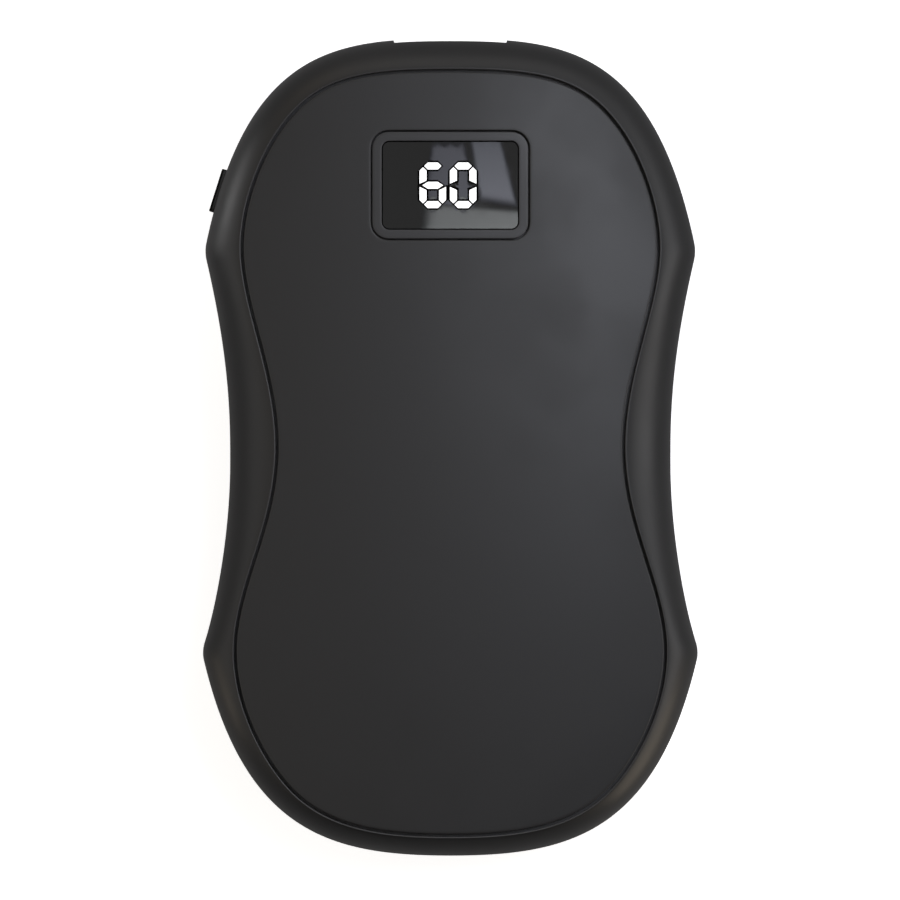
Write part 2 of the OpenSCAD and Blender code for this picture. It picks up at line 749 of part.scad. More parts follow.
// Depths behind the seat: the flange, the nub on it, the plunger, and the switch's front
flange_from = button_seat + fit_gap;
nub_out = 0.3;
nub_to = flange_from + flange_t + nub_out;
plunger_from = nub_to + fit_gap / 2;
plunger_show = 0.3;
switch_from = nub_to + button_travel + plunger_show;
plunger_w = 2.4;
plunger_h = 1.6;
plunger_in = 1.2;
switch_w = 6;
switch_d = 3.5;
switch_h = 3.2;

// The button's own frame: X out of the rim, Y along it, at the silhouette
module at_button() {
    translate([-button_x, button_y, z_mid]) rotate([0, 0, 180 - button_tilt]) children();
}
module power_button() {
    color([0.08, 0.08, 0.09]) at_button() {
        along_x(-flange_from, button_out - button_bevel)
            polygon(rounded_rect(button_l, button_h, button_r));
        hull() {
            along_x(button_out - 2 * button_bevel, button_out - button_bevel)
                polygon(rounded_rect(button_l, button_h, button_r));
            along_x(button_out - button_bevel, button_out)
                polygon(rounded_rect(button_l - 2 * button_bevel, button_h - 2 * button_bevel,
                                     button_r - button_bevel));
        }
        along_x(-flange_from - flange_t, -flange_from)
            polygon(rounded_rect(flange_l, flange_h, button_r));
        along_x(-nub_to, -flange_from)
            square([plunger_w, plunger_h], center = true);
    }
}
module switch_plunger() {
    color([0.85, 0.82, 0.75]) at_button() along_x(-switch_from - plunger_in, -plunger_from)
        square([plunger_w, plunger_h], center = true);
}
module switch_body() {
    color([0.3, 0.3, 0.32]) at_button() difference() {
        along_x(-switch_from - switch_d, -switch_from)
            translate([-switch_w / 2, board_top + seat_gap - z_mid]) square([switch_w, switch_h]);
        along_x(-switch_from - plunger_in - button_travel - plunger_show, -switch_from + overrun)
            square([plunger_w + 2 * fit_gap, plunger_h + 2 * fit_gap], center = true);
    }
}

// Port

module port_plate() {
    color([0.12, 0.12, 0.13]) difference() {
        union() {
            intersection() {
                translate([0, body_l / 2 - port_recess - port_face_r, z_mid])
                    swept_cap(port_face_r, port_face_up_r, 2 * rim_wall + port_flange_t, port_h, port_w);
                translate([0, 0, z_mid]) along_y(port_flange_y, body_l / 2)
                    polygon(rounded_rect(port_w, port_h, port_r));
            }
            translate([0, 0, z_mid]) along_y(port_flange_y, port_flange_y + port_flange_t)
                polygon(rounded_rect(port_flange_w, port_flange_h, port_r));
        }
        translate([0, 0, z_mid]) along_y(port_flange_y - overrun, body_l / 2 + overrun)
            polygon(round_slot(socket_w + 2 * socket_gap, socket_h + 2 * socket_gap));
    }
}
module usb_c_shell() {
    color([0.75, 0.75, 0.76]) translate([0, 0, z_mid]) difference() {
        along_y(socket_front - socket_l, socket_front) polygon(round_slot(socket_w, socket_h));
        along_y(socket_front - socket_l + socket_wall, socket_front + overrun)
            polygon(round_slot(socket_w - 2 * socket_wall, socket_h - 2 * socket_wall));
    }
}
tongue_side = 0.845;
tongue_w = socket_w - 2 * socket_wall - 2 * tongue_side;
tongue_h = 0.7;
tongue_l = 4.5;
contact_count = 12;
contact_pitch = 0.5;
contact_w = 0.26;
contact_share = 0.73;
contact_l = contact_share * tongue_l;
contact_t = 0.06;
tongue_back = socket_front - socket_l + socket_wall;
module usb_c_tongue() {
    color([0.05, 0.05, 0.05]) translate([0, 0, z_mid]) {
        along_y(tongue_back, tongue_back + tongue_l) square([tongue_w, tongue_h], center = true);
        along_y(tongue_back, tongue_back + tongue_l / 4)
            square([socket_w - socket_h, socket_h - 2 * socket_wall - 2 * fit_gap], center = true);
    }
}
module usb_c_contacts() {
    color([0.85, 0.68, 0.3]) for (i = [0:contact_count - 1]) for (side = [-1, 1])
        translate([(i - (contact_count - 1) / 2) * contact_pitch, 0,
                   z_mid + side * (tongue_h / 2 + contact_t / 2)])
            along_y(tongue_back + tongue_l - contact_l, tongue_back + tongue_l - fit_gap)
                square([contact_w, contact_t], center = true);
}

// Main board

module main_board() {
    color([0.05, 0.25, 0.12]) difference() {
        union() {
            slab(board_low, board_top) intersection() {
                polygon(seam_outline(-board_inset));
                translate([-board_w, board_y0]) square([2 * board_w, board_l + overrun]);
            }
            slab(board_low, board_top) translate([-board_tongue_w / 2, board_end - board_l / 2])
                square([board_tongue_w, board_tongue_end - board_end + board_l / 2]);
        }
        slab(board_low - overrun, board_top + overrun) {
            for (p = pin_places) translate(p) circle(r = pin_r + fit_gap, $fn = round_fn);
            for (p = board_screw_places)
                translate(p) circle(r = thread_r + fit_gap, $fn = round_fn);
        }
    }
}

// A small part of some width, length and height, soldered to the board at some place
module soldered(place, w, l, h) {
    translate([place.x, place.y, 0]) slab(board_top + seat_gap, board_top + h)
        square([w, l], center = true);
}
chip_w = 5;
chip_l = 4;
chip_h = 1;
// One chip lies under the display and one beside the socket
socket_chip_x = socket_w / 2 + port_flange_margin + chip_w / 2;
chip_places = [
    on_board(chip_share), [0, display_y],
    [-socket_chip_x, board_y0 + socket_chip_share * board_l]
];
module controller_chips() {
    color([0.1, 0.1, 0.1]) for (p = chip_places) soldered(p, chip_w, chip_l, chip_h);
}
inductor_w = 6;
inductor_h = 3;
module power_inductor() {
    color([0.35, 0.35, 0.36]) translate(at(on_board(inductor_share), board_top + seat_gap))
        slab(0, inductor_h) polygon(rounded_rect(inductor_w, inductor_w, inductor_w / 6));
}
capacitor_w = 0.9;
capacitor_l = 1.6;
capacitor_h = 0.9;
// Beside one post stands a row of three, and two stand outside that chip and its mirror image
capacitor_pitch = 1.9;
chip_capacitor_gap = 0.9;
capacitor_places = [
    for (s = capacitor_shares) on_board(s),
    for (side = [-1, 1]) [
        side * (socket_chip_x + chip_w / 2 + chip_capacitor_gap + capacitor_w / 2),
        board_y0 + top_capacitor_share * board_l
    ],
    for (i = [1:3]) [top_post_x - post_r - i * capacitor_pitch, top_post_y]
];
module board_capacitors() {
    color([0.6, 0.5, 0.38]) for (p = capacitor_places)
        soldered(p, capacitor_w, capacitor_l, capacitor_h);
}
connector_w = 6;
connector_l = 4.5;
connector_h = 3.5;
module battery_connector() {
    color([0.9, 0.9, 0.86])
        soldered(on_board(connector_share), connector_w, connector_l, connector_h);
}

// Screws: a thread under a low round head, driven from the rear
thread_r = 0.8;
pilot_depth = 5;
tray_screw_l = 4;
board_screw_l = 3;
tray_head_r = 1.9;
board_head_r = 1.6;
head_h = 1.1;
slot_w = 0.4;
module screw(place, seat, head_r, length) {
    translate(at(place, seat - head_h)) difference() {
        union() {
            cylinder(h = head_h, r = head_r, $fn = round_fn);
            cylinder(h = head_h + length, r = thread_r, $fn = round_fn);
        }
        for (turn = [0, 90]) rotate([0, 0, turn])
            translate([-head_r / 2, -slot_w / 2, -overrun])
                cube([head_r, slot_w, overrun + head_h / 2]);
    }
}
module board_screws() {
    color([0.6, 0.6, 0.62]) for (p = board_screw_places)
        screw(p, board_low - seat_gap, board_head_r, board_t + board_screw_l);
}
module tray_screws() {
    color([0.6, 0.6, 0.62]) for (p = tray_screw_places)
        screw(p, tray_low - seat_gap, tray_head_r, tray_t + tray_screw_l);
}

// Cell and tray

module tray_plan(margin) {
    translate([0, (tray_y0 + tray_y1) / 2])
        polygon(rounded_rect(tray_w - 2 * margin, tray_y1 - tray_y0 - 2 * margin, tray_r - margin));
}
module battery_tray() {
    color([0.3, 0.3, 0.32]) {
        slab(tray_low, tray_floor_top) difference() {
            union() {
                tray_plan(0);
                for (p = tray_screw_places) {
                    translate(p) circle(r = ear_r, $fn = round_fn);
                    translate([min(p.x, 0), p.y - ear_r]) square([abs(p.x), 2 * ear_r]);
                }
                translate([0, tray_y1]) square([2 * upper_ear_x, 2 * ear_r], center = true);
            }
            for (p = tray_screw_places) translate(p) circle(r = thread_r + fit_gap, $fn = round_fn);
            translate([rear_lead_x - lead_gate_w / 2, tray_y1 + seat_gap])
                square([lead_gate_w, board_y0 - tray_y1]);
        }
        slab(tray_low, tray_floor_top + tray_wall_h) difference() {
            tray_plan(0);
            tray_plan(tray_wall);
        }
        for (side = [-1, 1]) translate([side * rest_x - rest_w / 2, tray_y1 - tray_wall, tray_low])
            cube([rest_w, board_y0 - tray_y1 + rest_w / 2, board_low - seat_gap - tray_low]);
    }
}
module battery_cell() {
    color([0.7, 0.71, 0.73]) {
        translate([0, cell_y0 + cell_l / 2, 0]) slab(cell_z0, cell_z0 + cell_t)
            polygon(rounded_rect(cell_w, cell_l, cell_r));
        translate([-cell_w / 2 + cell_r, cell_y0 + cell_l - cell_r, z_mid - seal_t / 2])
            cube([cell_w - 2 * cell_r, cell_r + seal_l, seal_t]);
    }
}
tab_w = 4;
tab_l = 2.4;
tab_t = 0.15;
tab_x = 9;
guard_w = 34;
guard_gap = 0.5;
guard_l = seal_l - guard_gap;
guard_t = 1;
tab_z = z_mid + seal_t / 2 + seat_gap;
guard_z = tab_z + tab_t + seat_gap;
guard_y = cell_y0 + cell_l + seal_l - guard_l;
module battery_tabs() {
    color([0.8, 0.8, 0.8]) for (side = [-1, 1])
        translate([side * tab_x - tab_w / 2, guard_y, tab_z]) cube([tab_w, tab_l, tab_t]);
}
module protection_board() {
    color([0.75, 0.6, 0.1]) translate([-guard_w / 2, guard_y, guard_z])
        cube([guard_w, guard_l, guard_t]);
}

// Heaters, one set under each cover

spreader_over = cover_t + seat_gap;
film_over = spreader_over + spreader_t + seat_gap;
film_under = film_over + film_t;
foam_over = film_under + seat_gap;
heater_w = 2 * (seam_waist.x - hook_in - hook_t - loose_gap);
heater_l = cell_l + seal_l + loose_gap;
heater_r = 4;
film_in = 1;
foam_short = 3;
foam_in = 1.5;
module heater_plan(margin, short_end) {
    translate([0, cell_y0 + heater_l / 2 - short_end / 2])
        polygon(rounded_rect(heater_w - 2 * margin, heater_l - 2 * margin - short_end, heater_r - margin));
}
module heat_spreader(apex) {
    color([0.78, 0.79, 0.8]) in_crown(apex, spreader_over, spreader_over + spreader_t)
        slab(apex - z_mid, apex) heater_plan(0, 0);
}
module heater_film(apex) {
    color([0.75, 0.42, 0.12]) in_crown(apex, film_over, film_under)
        slab(apex - z_mid, apex) heater_plan(film_in, 0);
}
// Foam fills the space from the film to what the cell lies in
module heater_foam(apex, far) {
    color([0.25, 0.25, 0.25]) in_crown(apex, foam_over, body_t)
        slab(far, apex) heater_plan(foam_in, foam_short);
}
sensor_w = 2;
sensor_l = 1.2;
sensor_t = 0.6;
sensor_x = 4;
film_end = cell_y0 + heater_l - film_in;
module thermistor(apex) {
    color([0.1, 0.1, 0.1]) in_crown(apex, foam_over, foam_over + sensor_t)
        translate([sensor_x, film_end - sensor_l, 0])
            slab(apex - z_mid, apex) square([sensor_w, sensor_l], center = true);
}
module front_heat_spreader() { heat_spreader(front_apex); }
module rear_heat_spreader() { rear_side() heat_spreader(rear_apex); }
module front_heater_film() { heater_film(front_apex); }
module rear_heater_film() { rear_side() heater_film(rear_apex); }
module front_thermistor() { thermistor(front_apex); }
module rear_thermistor() { rear_side() thermistor(rear_apex); }
module front_foam() { heater_foam(front_apex, cell_z0 + cell_t + seat_gap); }
module rear_foam() { rear_side() heater_foam(rear_apex, -tray_low + seat_gap); }

// Leads: round wires, each in a plane across X, along one cubic curve given as [y, z] places

lead_r = 0.6;
lead_sides = 8;
lead_rings = 14;
lead_pitch = 1.7;
lead_reach_share = 0.6;
lead_gate_w = lead_pitch + 2 * (lead_r + loose_gap);
module lead(x, start, end) {
    reach = [(end.x - start.x) * lead_reach_share, 0];
    path = [start, start + reach, end - reach, end];
    points = [
        for (i = [0:lead_rings])
            let (t = i / lead_rings, p = on_curve(path, t), v = unit(along_curve(path, t)))
            for (j = [0:lead_sides - 1])
                let (a = 360 * j / lead_sides)
                [x + lead_r * cos(a), p.x - v.y * lead_r * sin(a), p.y + v.x * lead_r * sin(a)]
    ];
    sides = [
        for (i = [0:lead_rings - 1]) for (j = [0:lead_sides - 1])
            let (a = i * lead_sides, b = a + lead_sides, k = (j + 1) % lead_sides)
            each [[a + j, b + k, b + j], [a + j, a + k, b + k]]
    ];
    first = [for (j = [lead_sides - 1:-1:0]) j];
    last = [for (j = [0:lead_sides - 1]) lead_rings * lead_sides + j];
    polyhedron(points = points, faces = concat(sides, [first, last]), convexity = 4);
}
connector_place = on_board(connector_share);
battery_lead_z = guard_z + guard_t + lead_r + seat_gap;
connector_face = connector_place.y - connector_l / 2 - seat_gap;
module battery_leads() {
    color([0.7, 0.1, 0.08]) for (side = [-1, 1])
        lead(connector_place.x + side * lead_pitch / 2,
             [guard_y + guard_l - lead_r, battery_lead_z],
             [connector_face, board_top + connector_h / 2]);
}
// A heater's pair runs from under the end of its film to a pad by the board's lower edge
heater_pad_y = board_y0 + 2 * lead_r;
module heater_leads(apex, middle, pad_z) {
    for (side = [-1, 1])
        let (x = middle + side * lead_pitch / 2, y = film_end - lead_r)
        lead(x, [y, crown_z(apex, [x, y], foam_over) - lead_r - seat_gap], [heater_pad_y, pad_z]);
}
// Where the two pairs lie, as shares of the tray's width from the middle
front_lead_share = 0.332;
rear_lead_share = 0.125;
front_lead_x = -front_lead_share * tray_w;
rear_lead_x = -rear_lead_share * tray_w;
module front_heater_leads() {
    color([0.75, 0.75, 0.75])
        heater_leads(front_apex, front_lead_x, board_top + lead_r + seat_gap);
}
module rear_heater_leads() {
    color([0.75, 0.75, 0.75]) rear_side()
        heater_leads(rear_apex, rear_lead_x, -(board_low - lead_r - seat_gap));
}

mid_frame();
front_cover();
rear_cover();
display_bezel();
display_lens();
display_gasket();
display_housing();
digit_segments_lit();
digit_segments_unlit();
display_pins();
power_button();
switch_plunger();
switch_body();
port_plate();
usb_c_shell();
usb_c_tongue();
usb_c_contacts();
main_board();
controller_chips();
power_inductor();
board_capacitors();
battery_connector();
battery_tray();
battery_cell();
battery_tabs();
protection_board();
battery_leads();
front_heat_spreader();
rear_heat_spreader();
front_heater_film();
rear_heater_film();
front_thermistor();
rear_thermistor();
front_foam();
rear_foam();
front_heater_leads();
rear_heater_leads();
board_screws();
tray_screws();
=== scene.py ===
"""Rechargeable hand warmer: a peanut-shaped body with a crowned cover on each side of a one-piece rim.

The pieces stand in the CAD model's frame: X to the right, Y towards the port end, Z out of the display.
"""
import math
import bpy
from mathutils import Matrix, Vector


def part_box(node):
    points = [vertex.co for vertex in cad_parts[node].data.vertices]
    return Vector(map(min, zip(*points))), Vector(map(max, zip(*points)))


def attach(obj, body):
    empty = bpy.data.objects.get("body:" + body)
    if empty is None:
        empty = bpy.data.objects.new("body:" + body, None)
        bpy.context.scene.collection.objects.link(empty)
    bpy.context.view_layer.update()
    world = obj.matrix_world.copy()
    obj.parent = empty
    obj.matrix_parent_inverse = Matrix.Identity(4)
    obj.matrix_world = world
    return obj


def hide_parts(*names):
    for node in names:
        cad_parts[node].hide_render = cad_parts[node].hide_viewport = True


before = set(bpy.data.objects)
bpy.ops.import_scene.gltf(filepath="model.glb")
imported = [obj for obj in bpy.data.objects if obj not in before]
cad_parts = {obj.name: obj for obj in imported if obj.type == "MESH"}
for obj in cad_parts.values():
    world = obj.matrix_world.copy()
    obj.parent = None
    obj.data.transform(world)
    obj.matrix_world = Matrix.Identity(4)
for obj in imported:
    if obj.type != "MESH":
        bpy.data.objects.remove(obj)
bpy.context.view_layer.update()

from types import SimpleNamespace

import bmesh
import bpy
import numpy as np
from bpy.props import FloatProperty, FloatVectorProperty, PointerProperty
from mathutils import Matrix, Vector
from mathutils.bvhtree import BVHTree
from mathutils.geometry import delaunay_2d_cdt
from mathutils.kdtree import KDTree

bl_info = {
    "name": "Hand warmer",
    "version": (1, 0, 0),
    "blender": (4, 5, 0),
    "location": "3D View > Sidebar > Hand warmer",
    "description": "Builds the hand warmer's pieces over its CAD frame",
    "category": "Add Mesh",
}

MM = 0.001


# Sizes and colours that a user would change

def length(name, description, millimetres):
    """A size of the model, given here in millimetres and kept in metres."""
    return FloatProperty(name=name, description=description, default=millimetres * MM,
                         unit="LENGTH", subtype="DISTANCE", precision=5)


def paint(name, description, *rgb):
    """A colour, in linear light."""
    return FloatVectorProperty(name=name, description=description, default=rgb, size=3,
                               subtype="COLOR", min=0.0, max=1.0)


class BodySizes(bpy.types.PropertyGroup):
    body: length("Length", "From the lower end to the port end", 105)
    thickness: length("Thickness", "From the rest face to the top of the front crown", 26)
    width: length("Width", "Across the lower corners, before they are rounded", 63.9)
    upper_in: length("Upper corners in", "How much further in each upper corner lies", 0.35)
    waist_in: length("Waist in", "How much further in each side of the waist lies", 3.65)
    upper_down: length("Upper corners down", "From the port end to the upper corners", 27.4)
    waist_down: length("Waist down", "From the middle to the waist", 2)
    lower_up: length("Lower corners up", "From the lower end to the lower corners", 26.3)
    corner_trim: length("Corner trim", "Length of outline that a corner's rounding takes", 1.2)
    across: length("Crown across", "Radius of both crowns across the body", 166)
    along: length("Crown along", "Radius of both crowns along the body", 462)
    rest_cut: length("Rest cut", "How much of the rear crown is cut flat", 0.5)
    cover: length("Cover", "Wall of both covers", 1.6)
    post: length("Post", "Radius of the screw posts inside the front cover", 2)


class RimSizes(bpy.types.PropertyGroup):
    top: length("Top", "Width of the rim at the port end", 4.26)
    upper: length("Upper", "Width of the rim beside the upper corners", 4.92)
    waist: length("Waist", "Width of the rim at the waist", 6.1)
    lower: length("Lower", "Width of the rim beside the lower corners", 4.37)
    bottom: length("Bottom", "Width of the rim at the lower end", 2.74)
    upper_rise: length("Upper rise", "The seam's upper wide place above the upper corners", 0.5)
    waist_rise: length("Waist rise", "The seam's waist above the body's waist", 2.1)
    groove: length("Groove", "Width of the groove along the seam", 0.4)
    soft: length("Soft edge", "Radius that breaks the edges beside the groove", 0.15)
    wall: length("Wall", "Wall of the rim", 2)
    ledge: length("Ledge", "How far the ledge reaches inside the seam", 1)
    ledge_deep: length("Ledge thickness", "Thickness of the ledge", 1.4)


class DisplaySizes(bpy.types.PropertyGroup):
    down: length("Down", "From the port end to the display's middle", 18.96)
    wide: length("Width", "Width of the bezel", 19.95)
    high: length("Length", "Length of the bezel along the body", 13.67)
    corner: length("Corner", "Corner radius of the bezel", 2.1)
    gap: length("Gap", "Gap round the bezel", 0.2)
    flange: length("Flange", "How far the bezel reaches under the cover", 1.1)
    side: length("Side border", "Width of the bezel beside the window", 1.18)
    end: length("End border", "Width of the bezel above and below the window", 1.14)
    window_corner: length("Window corner", "Corner radius of the window", 1)
    recess: length("Recess", "How far the lens lies below the bezel", 0.12)
    lens: length("Lens", "Thickness of the lens", 1)
    lens_ledge: length("Lens ledge", "Width of the bezel's ledge under the lens", 0.65)
    digit_wide: length("Digit width", "Width of one digit", 3.53)
    digit_high: length("Digit height", "Height of one digit", 5.98)
    digit_gap: length("Digit gap", "Gap between the two digits", 0.36)
    digits_left: length("Digits left", "How far the digits lie to the left of the middle", 0.3)
    stroke: length("Stroke", "Width of each segment", 1.03)
    halo: length("Mask line", "Width of the mask's line round each segment on the lens", 0.18)
    border: length("Mask border", "Width of the mask's line along the lens's edge", 0.14)


class ButtonSizes(bpy.types.PropertyGroup):
    down: length("Down", "From the port end to the button's middle", 19.6)
    long: length("Length", "Length of the button along the rim", 5.73)
    high: length("Height", "Height of the button", 3.4)
    out: length("Out", "How far the button stands out of the rim", 0.55)
    gap: length("Gap", "Running gap round the button", 0.12)
    corner: length("Corner", "Corner radius of the button", 0.6)
    soft: length("Soft edge", "Radius of the button's outer edge", 0.12)
    # the face zone is coloured darker than the button's plastic: painted shade along its outer part
    face: length("Face", "Depth of the button's dull black face", 0.3)


class PortSizes(bpy.types.PropertyGroup):
    wide: length("Width", "Width of the inset plate round the port", 14.3)
    high: length("Height", "Height of the inset plate", 10.66)
    recess: length("Recess", "How far the plate lies below the rim's surface", 0.33)
    socket_wide: length("Socket width", "Width of the socket's shell", 8.94)
    socket_high: length("Socket height", "Height of the socket's shell", 3.26)
    socket_wall: length("Socket wall", "Wall of the socket's shell", 0.3)


class Colours(bpy.types.PropertyGroup):
    shell: paint("Shell", "Soft-touch plastic of the rim and covers", 0.0152, 0.0150, 0.0155)
    bezel: paint("Bezel", "Satin plastic of the display's bezel", 0.026, 0.026, 0.0275)
    lens: paint("Lens", "Tint of the smoked lens", 0.006, 0.006, 0.0065)
    lit: paint("Lit segments", "Light of the lit segments", 1.0, 1.0, 1.0)
    button: paint("Button", "Plastic of the button", 0.012, 0.012, 0.0125)
    board: paint("Board", "Solder mask of the boards", 0.012, 0.09, 0.035)


class HandWarmerSizes(bpy.types.PropertyGroup):
    body: PointerProperty(type=BodySizes)
    rim: PointerProperty(type=RimSizes)
    display: PointerProperty(type=DisplaySizes)
    button: PointerProperty(type=ButtonSizes)
    port: PointerProperty(type=PortSizes)
    colours: PointerProperty(type=Colours)


# Gaps and small sizes of the CAD model that the pieces share
SEAT = 0.02 * MM               # between pieces that rest on each other
FIT = 0.1 * MM                 # round a piece that is fixed in its place
LOOSE = 0.3 * MM               # round a piece that goes in easily
PAD_SHARE = 1.3                # how deep the pad behind the button ends, in walls of the rim
BUTTON_FLANGE = 1.6 * MM       # how much longer and higher than the button its flange is
SCREW_BORE, SCREW_DEPTH = 0.82 * MM, 5 * MM
PLATE_CORNER = 0.4 * MM
PLATE_ACROSS, PLATE_UP = 105 * MM, 260 * MM    # radii of the port plate's faint crown

# Outline: handle lengths as shares of each stretch, and leans from straight down, as in the CAD model
BODY_SHARES = [(0.351, 0.643), (0.518, 0.209), (0.372, 0.215), (0.583, 0.369)]
BODY_LEANS = [(90, 11.2), (-13.5, 0), (0, 19.5), (-12.5, -90)]
SEAM_SHARES = [(0.44, 0.291), (0.322, 0.299), (0.287, 0.367), (0.384, 0.313), (0.372, 0.254),
               (0.34, 0.355)]
SEAM_LEANS = [(90, 52.4), (52.4, 0), (0, 0), (0, 0), (0, -46), (-46, -90)]
# The seam's extra corners above and below its wide places: how far across, as a share of the wide
# place, and how far towards the end
SHOULDER = (0.681, 0.838)
HIP = (0.722, 0.769)

# The rim's section, from the groove to the middle of the side: a rounded corner whose two powers say
# how square it is, in RIM_STEPS steps that lie closer where it turns down
RIM_POWERS = (1.2, 3.4)
RIM_STEPS, RIM_CROWDING = 30, 1.8
EDGE_HIGHLIGHT = 4.0               # how much paler than its plastic the painted edge highlight is
FAINT_EDGE_HIGHLIGHT = 0.35              # how much of that painted highlight the edges of the covers and the bezel show


def on_curve(c, t):
    """Points of a cubic curve."""
    t = np.atleast_1d(t)[:, None]
    return (1 - t) ** 3 * c[0] + 3 * (1 - t) ** 2 * t * c[1] + 3 * (1 - t) * t * t * c[2] + t ** 3 * c[3]


def along_curve(c, t):
    """A cubic curve's direction, a third of its speed."""
    t = np.atleast_1d(t)[:, None]
    return (1 - t) ** 2 * (c[1] - c[0]) + 2 * (1 - t) * t * (c[2] - c[1]) + t * t * (c[3] - c[2])


def unit(v):
    """Directions of length 1."""
    return v / np.linalg.norm(v, axis=-1, keepdims=True)


def down(lean):
    """A direction that leans from straight down by some degrees."""
    return np.array([math.sin(math.radians(lean)), -math.cos(math.radians(lean))])


def side_curves(places, shares, leans):
    """Cubic curves down the right side, from place to place."""
    curves = []
    for a, b, (h0, h1), (l0, l1) in zip(places, places[1:], shares, leans):
        reach = np.linalg.norm(b - a)
        curves.append(np.array([a, a + h0 * reach * down(l0), b - h1 * reach * down(l1), b]))
    return curves


def mirrored(rows):
    return rows * np.array([-1, 1])


def both_sides(right):
    """A closed outline from its right side, which starts and ends on the middle line."""
    return np.concatenate([right, mirrored(right[-2:0:-1])])


class Body:
    """The body's outlines and crowns, worked out from its sizes."""

    def __init__(self, sizes):
        b, r = sizes.body, sizes.rim
        self.b, self.r = b, r
        self.mid = b.thickness / 2
        upper_w, waist_w = b.width - 2 * b.upper_in, b.width - 2 * b.waist_in
        upper_y, lower_y = b.body / 2 - b.upper_down, b.body / 2 - b.lower_up
        places = np.array([(0, b.body / 2), (upper_w / 2, upper_y), (waist_w / 2, -b.waist_down),
                           (b.width / 2, -lower_y), (0, -b.body / 2)])
        self.top = np.array([0, b.body / 2 - r.top])
        self.upper = np.array([upper_w / 2 - r.upper, upper_y + r.upper_rise])
        self.waist = np.array([waist_w / 2 - r.waist, r.waist_rise - b.waist_down])
        self.lower = np.array([b.width / 2 - r.lower, -lower_y])
        self.bottom = np.array([0, r.bottom - b.body / 2])
        shoulder = np.array([self.upper[0] * SHOULDER[0],
                             self.upper[1] + (self.top[1] - self.upper[1]) * SHOULDER[1]])
        hip = np.array([self.lower[0] * HIP[0],
                        self.lower[1] + (self.bottom[1] - self.lower[1]) * HIP[1]])
        seam = [self.top, shoulder, self.upper, self.waist, self.lower, hip, self.bottom]
        self.body_curves = side_curves(places, BODY_SHARES, BODY_LEANS)
        self.seam_curves = side_curves(seam, SEAM_SHARES, SEAM_LEANS)

    def crown(self, apex, p, inset=0.0):
        """Height of a crown's surface, some way under its outside: an arc across the body that is
        swept along a wider arc."""
        p = np.atleast_2d(p)
        across = np.sqrt((self.b.across - inset) ** 2 - p[:, 0] ** 2)
        sweep = self.b.along - self.b.across + across
        return apex - self.b.along + np.sqrt(sweep ** 2 - p[:, 1] ** 2)

    def front(self, p, inset=0.0):
        return self.crown(self.b.thickness, p, inset)

    def rear(self, p, inset=0.0):
        return -self.crown(self.b.rest_cut, p, inset)

    def silhouette(self, long_steps=100, short_steps=56, bend_steps=16):
        """The right side of the body's outline, from the port end to the lower end.
        Curves 0 and 1 meet in the upper corner, 2 and 3 in the lower one; both are rounded."""
        c, trim = self.body_curves, self.b.corner_trim
        rows = []
        for i, before, after in ((0, long_steps, short_steps), (2, short_steps, long_steps)):
            end = trim / (3 * np.linalg.norm(c[i][3] - c[i][2]))
            start_at = trim / (3 * np.linalg.norm(c[i + 1][1] - c[i + 1][0]))
            rows.append(on_curve(c[i], np.linspace(0, 1 - end, before + 1)[:-1]))
            a, b = on_curve(c[i], 1 - end)[0], on_curve(c[i + 1], start_at)[0]
            t = np.linspace(0, 1, bend_steps + 1)[:-1, None]
            rows.append((1 - t) ** 2 * a + 2 * t * (1 - t) * c[i][3] + t * t * b)
            rows.append(on_curve(c[i + 1], np.linspace(start_at, 1, after + 1)[:-1]))
        rows.append(c[3][3][None])
        return np.concatenate(rows)

    def match(self, p):
        """One number that falls down the side and pairs the seam with the silhouette."""
        above = self.upper[1] + np.degrees(np.arctan2(p[:, 1] - self.upper[1], p[:, 0]))
        below = self.lower[1] - np.degrees(np.arctan2(self.lower[1] - p[:, 1], p[:, 0]))
        return np.where(p[:, 1] > self.upper[1], above, np.where(p[:, 1] < self.lower[1], below, p[:, 1]))

    def seam_side(self, steps):
        """Points and outward directions down the seam's right side."""
        t = np.linspace(0, 1, steps + 1)[:-1]
        points = np.concatenate([on_curve(c, t) for c in self.seam_curves] + [self.bottom[None]])
        ways = np.concatenate([unit(along_curve(c, t)) for c in self.seam_curves] + [[(-1.0, 0.0)]])
        return points, np.stack([-ways[:, 1], ways[:, 0]], 1)

    def seam(self, distance, steps=50):
        """The seam's whole outline, moved outwards by some distance."""
        points, out = self.seam_side(steps)
        return both_sides(points + distance * out)

    def stations(self):
        """Where the rim is cut across: silhouette, matching place on the seam, way out there."""
        p = self.silhouette()
        points, out = self.seam_side(200)
        numbers, wanted = self.match(points)[::-1], self.match(p)
        look = lambda column: np.interp(wanted, numbers, column[::-1])
        q = np.stack([look(points[:, 0]), look(points[:, 1])], 1)
        n = unit(np.stack([look(out[:, 0]), look(out[:, 1])], 1))
        return [both_sides(rows) for rows in (p, q, n)]


def rounded_rect(w, l, r, corner=8, side=10):
    """Points of a rounded rectangle round the origin, anticlockwise."""
    r = min(r, w / 2 * 0.98, l / 2 * 0.98)
    rows = []
    for sx, sy, start in ((1, 1, 0), (-1, 1, 90), (-1, -1, 180), (1, -1, 270)):
        a = np.radians(start + np.linspace(0, 90, corner + 1))
        rows.append(np.stack([sx * (w / 2 - r) + r * np.cos(a), sy * (l / 2 - r) + r * np.sin(a)], 1))
    filled = []
    for here, there in zip(rows, rows[1:] + rows[:1]):
        t = np.linspace(0, 1, side + 1)[1:-1, None]
        filled += [here, here[-1] + t * (there[0] - here[-1])]
    return np.concatenate(filled)


def round_points(steps):
    """Points round a circle of radius 1."""
    a = np.linspace(0, 2 * np.pi, steps + 1)[:-1]
    return np.stack([np.cos(a), np.sin(a)], 1)


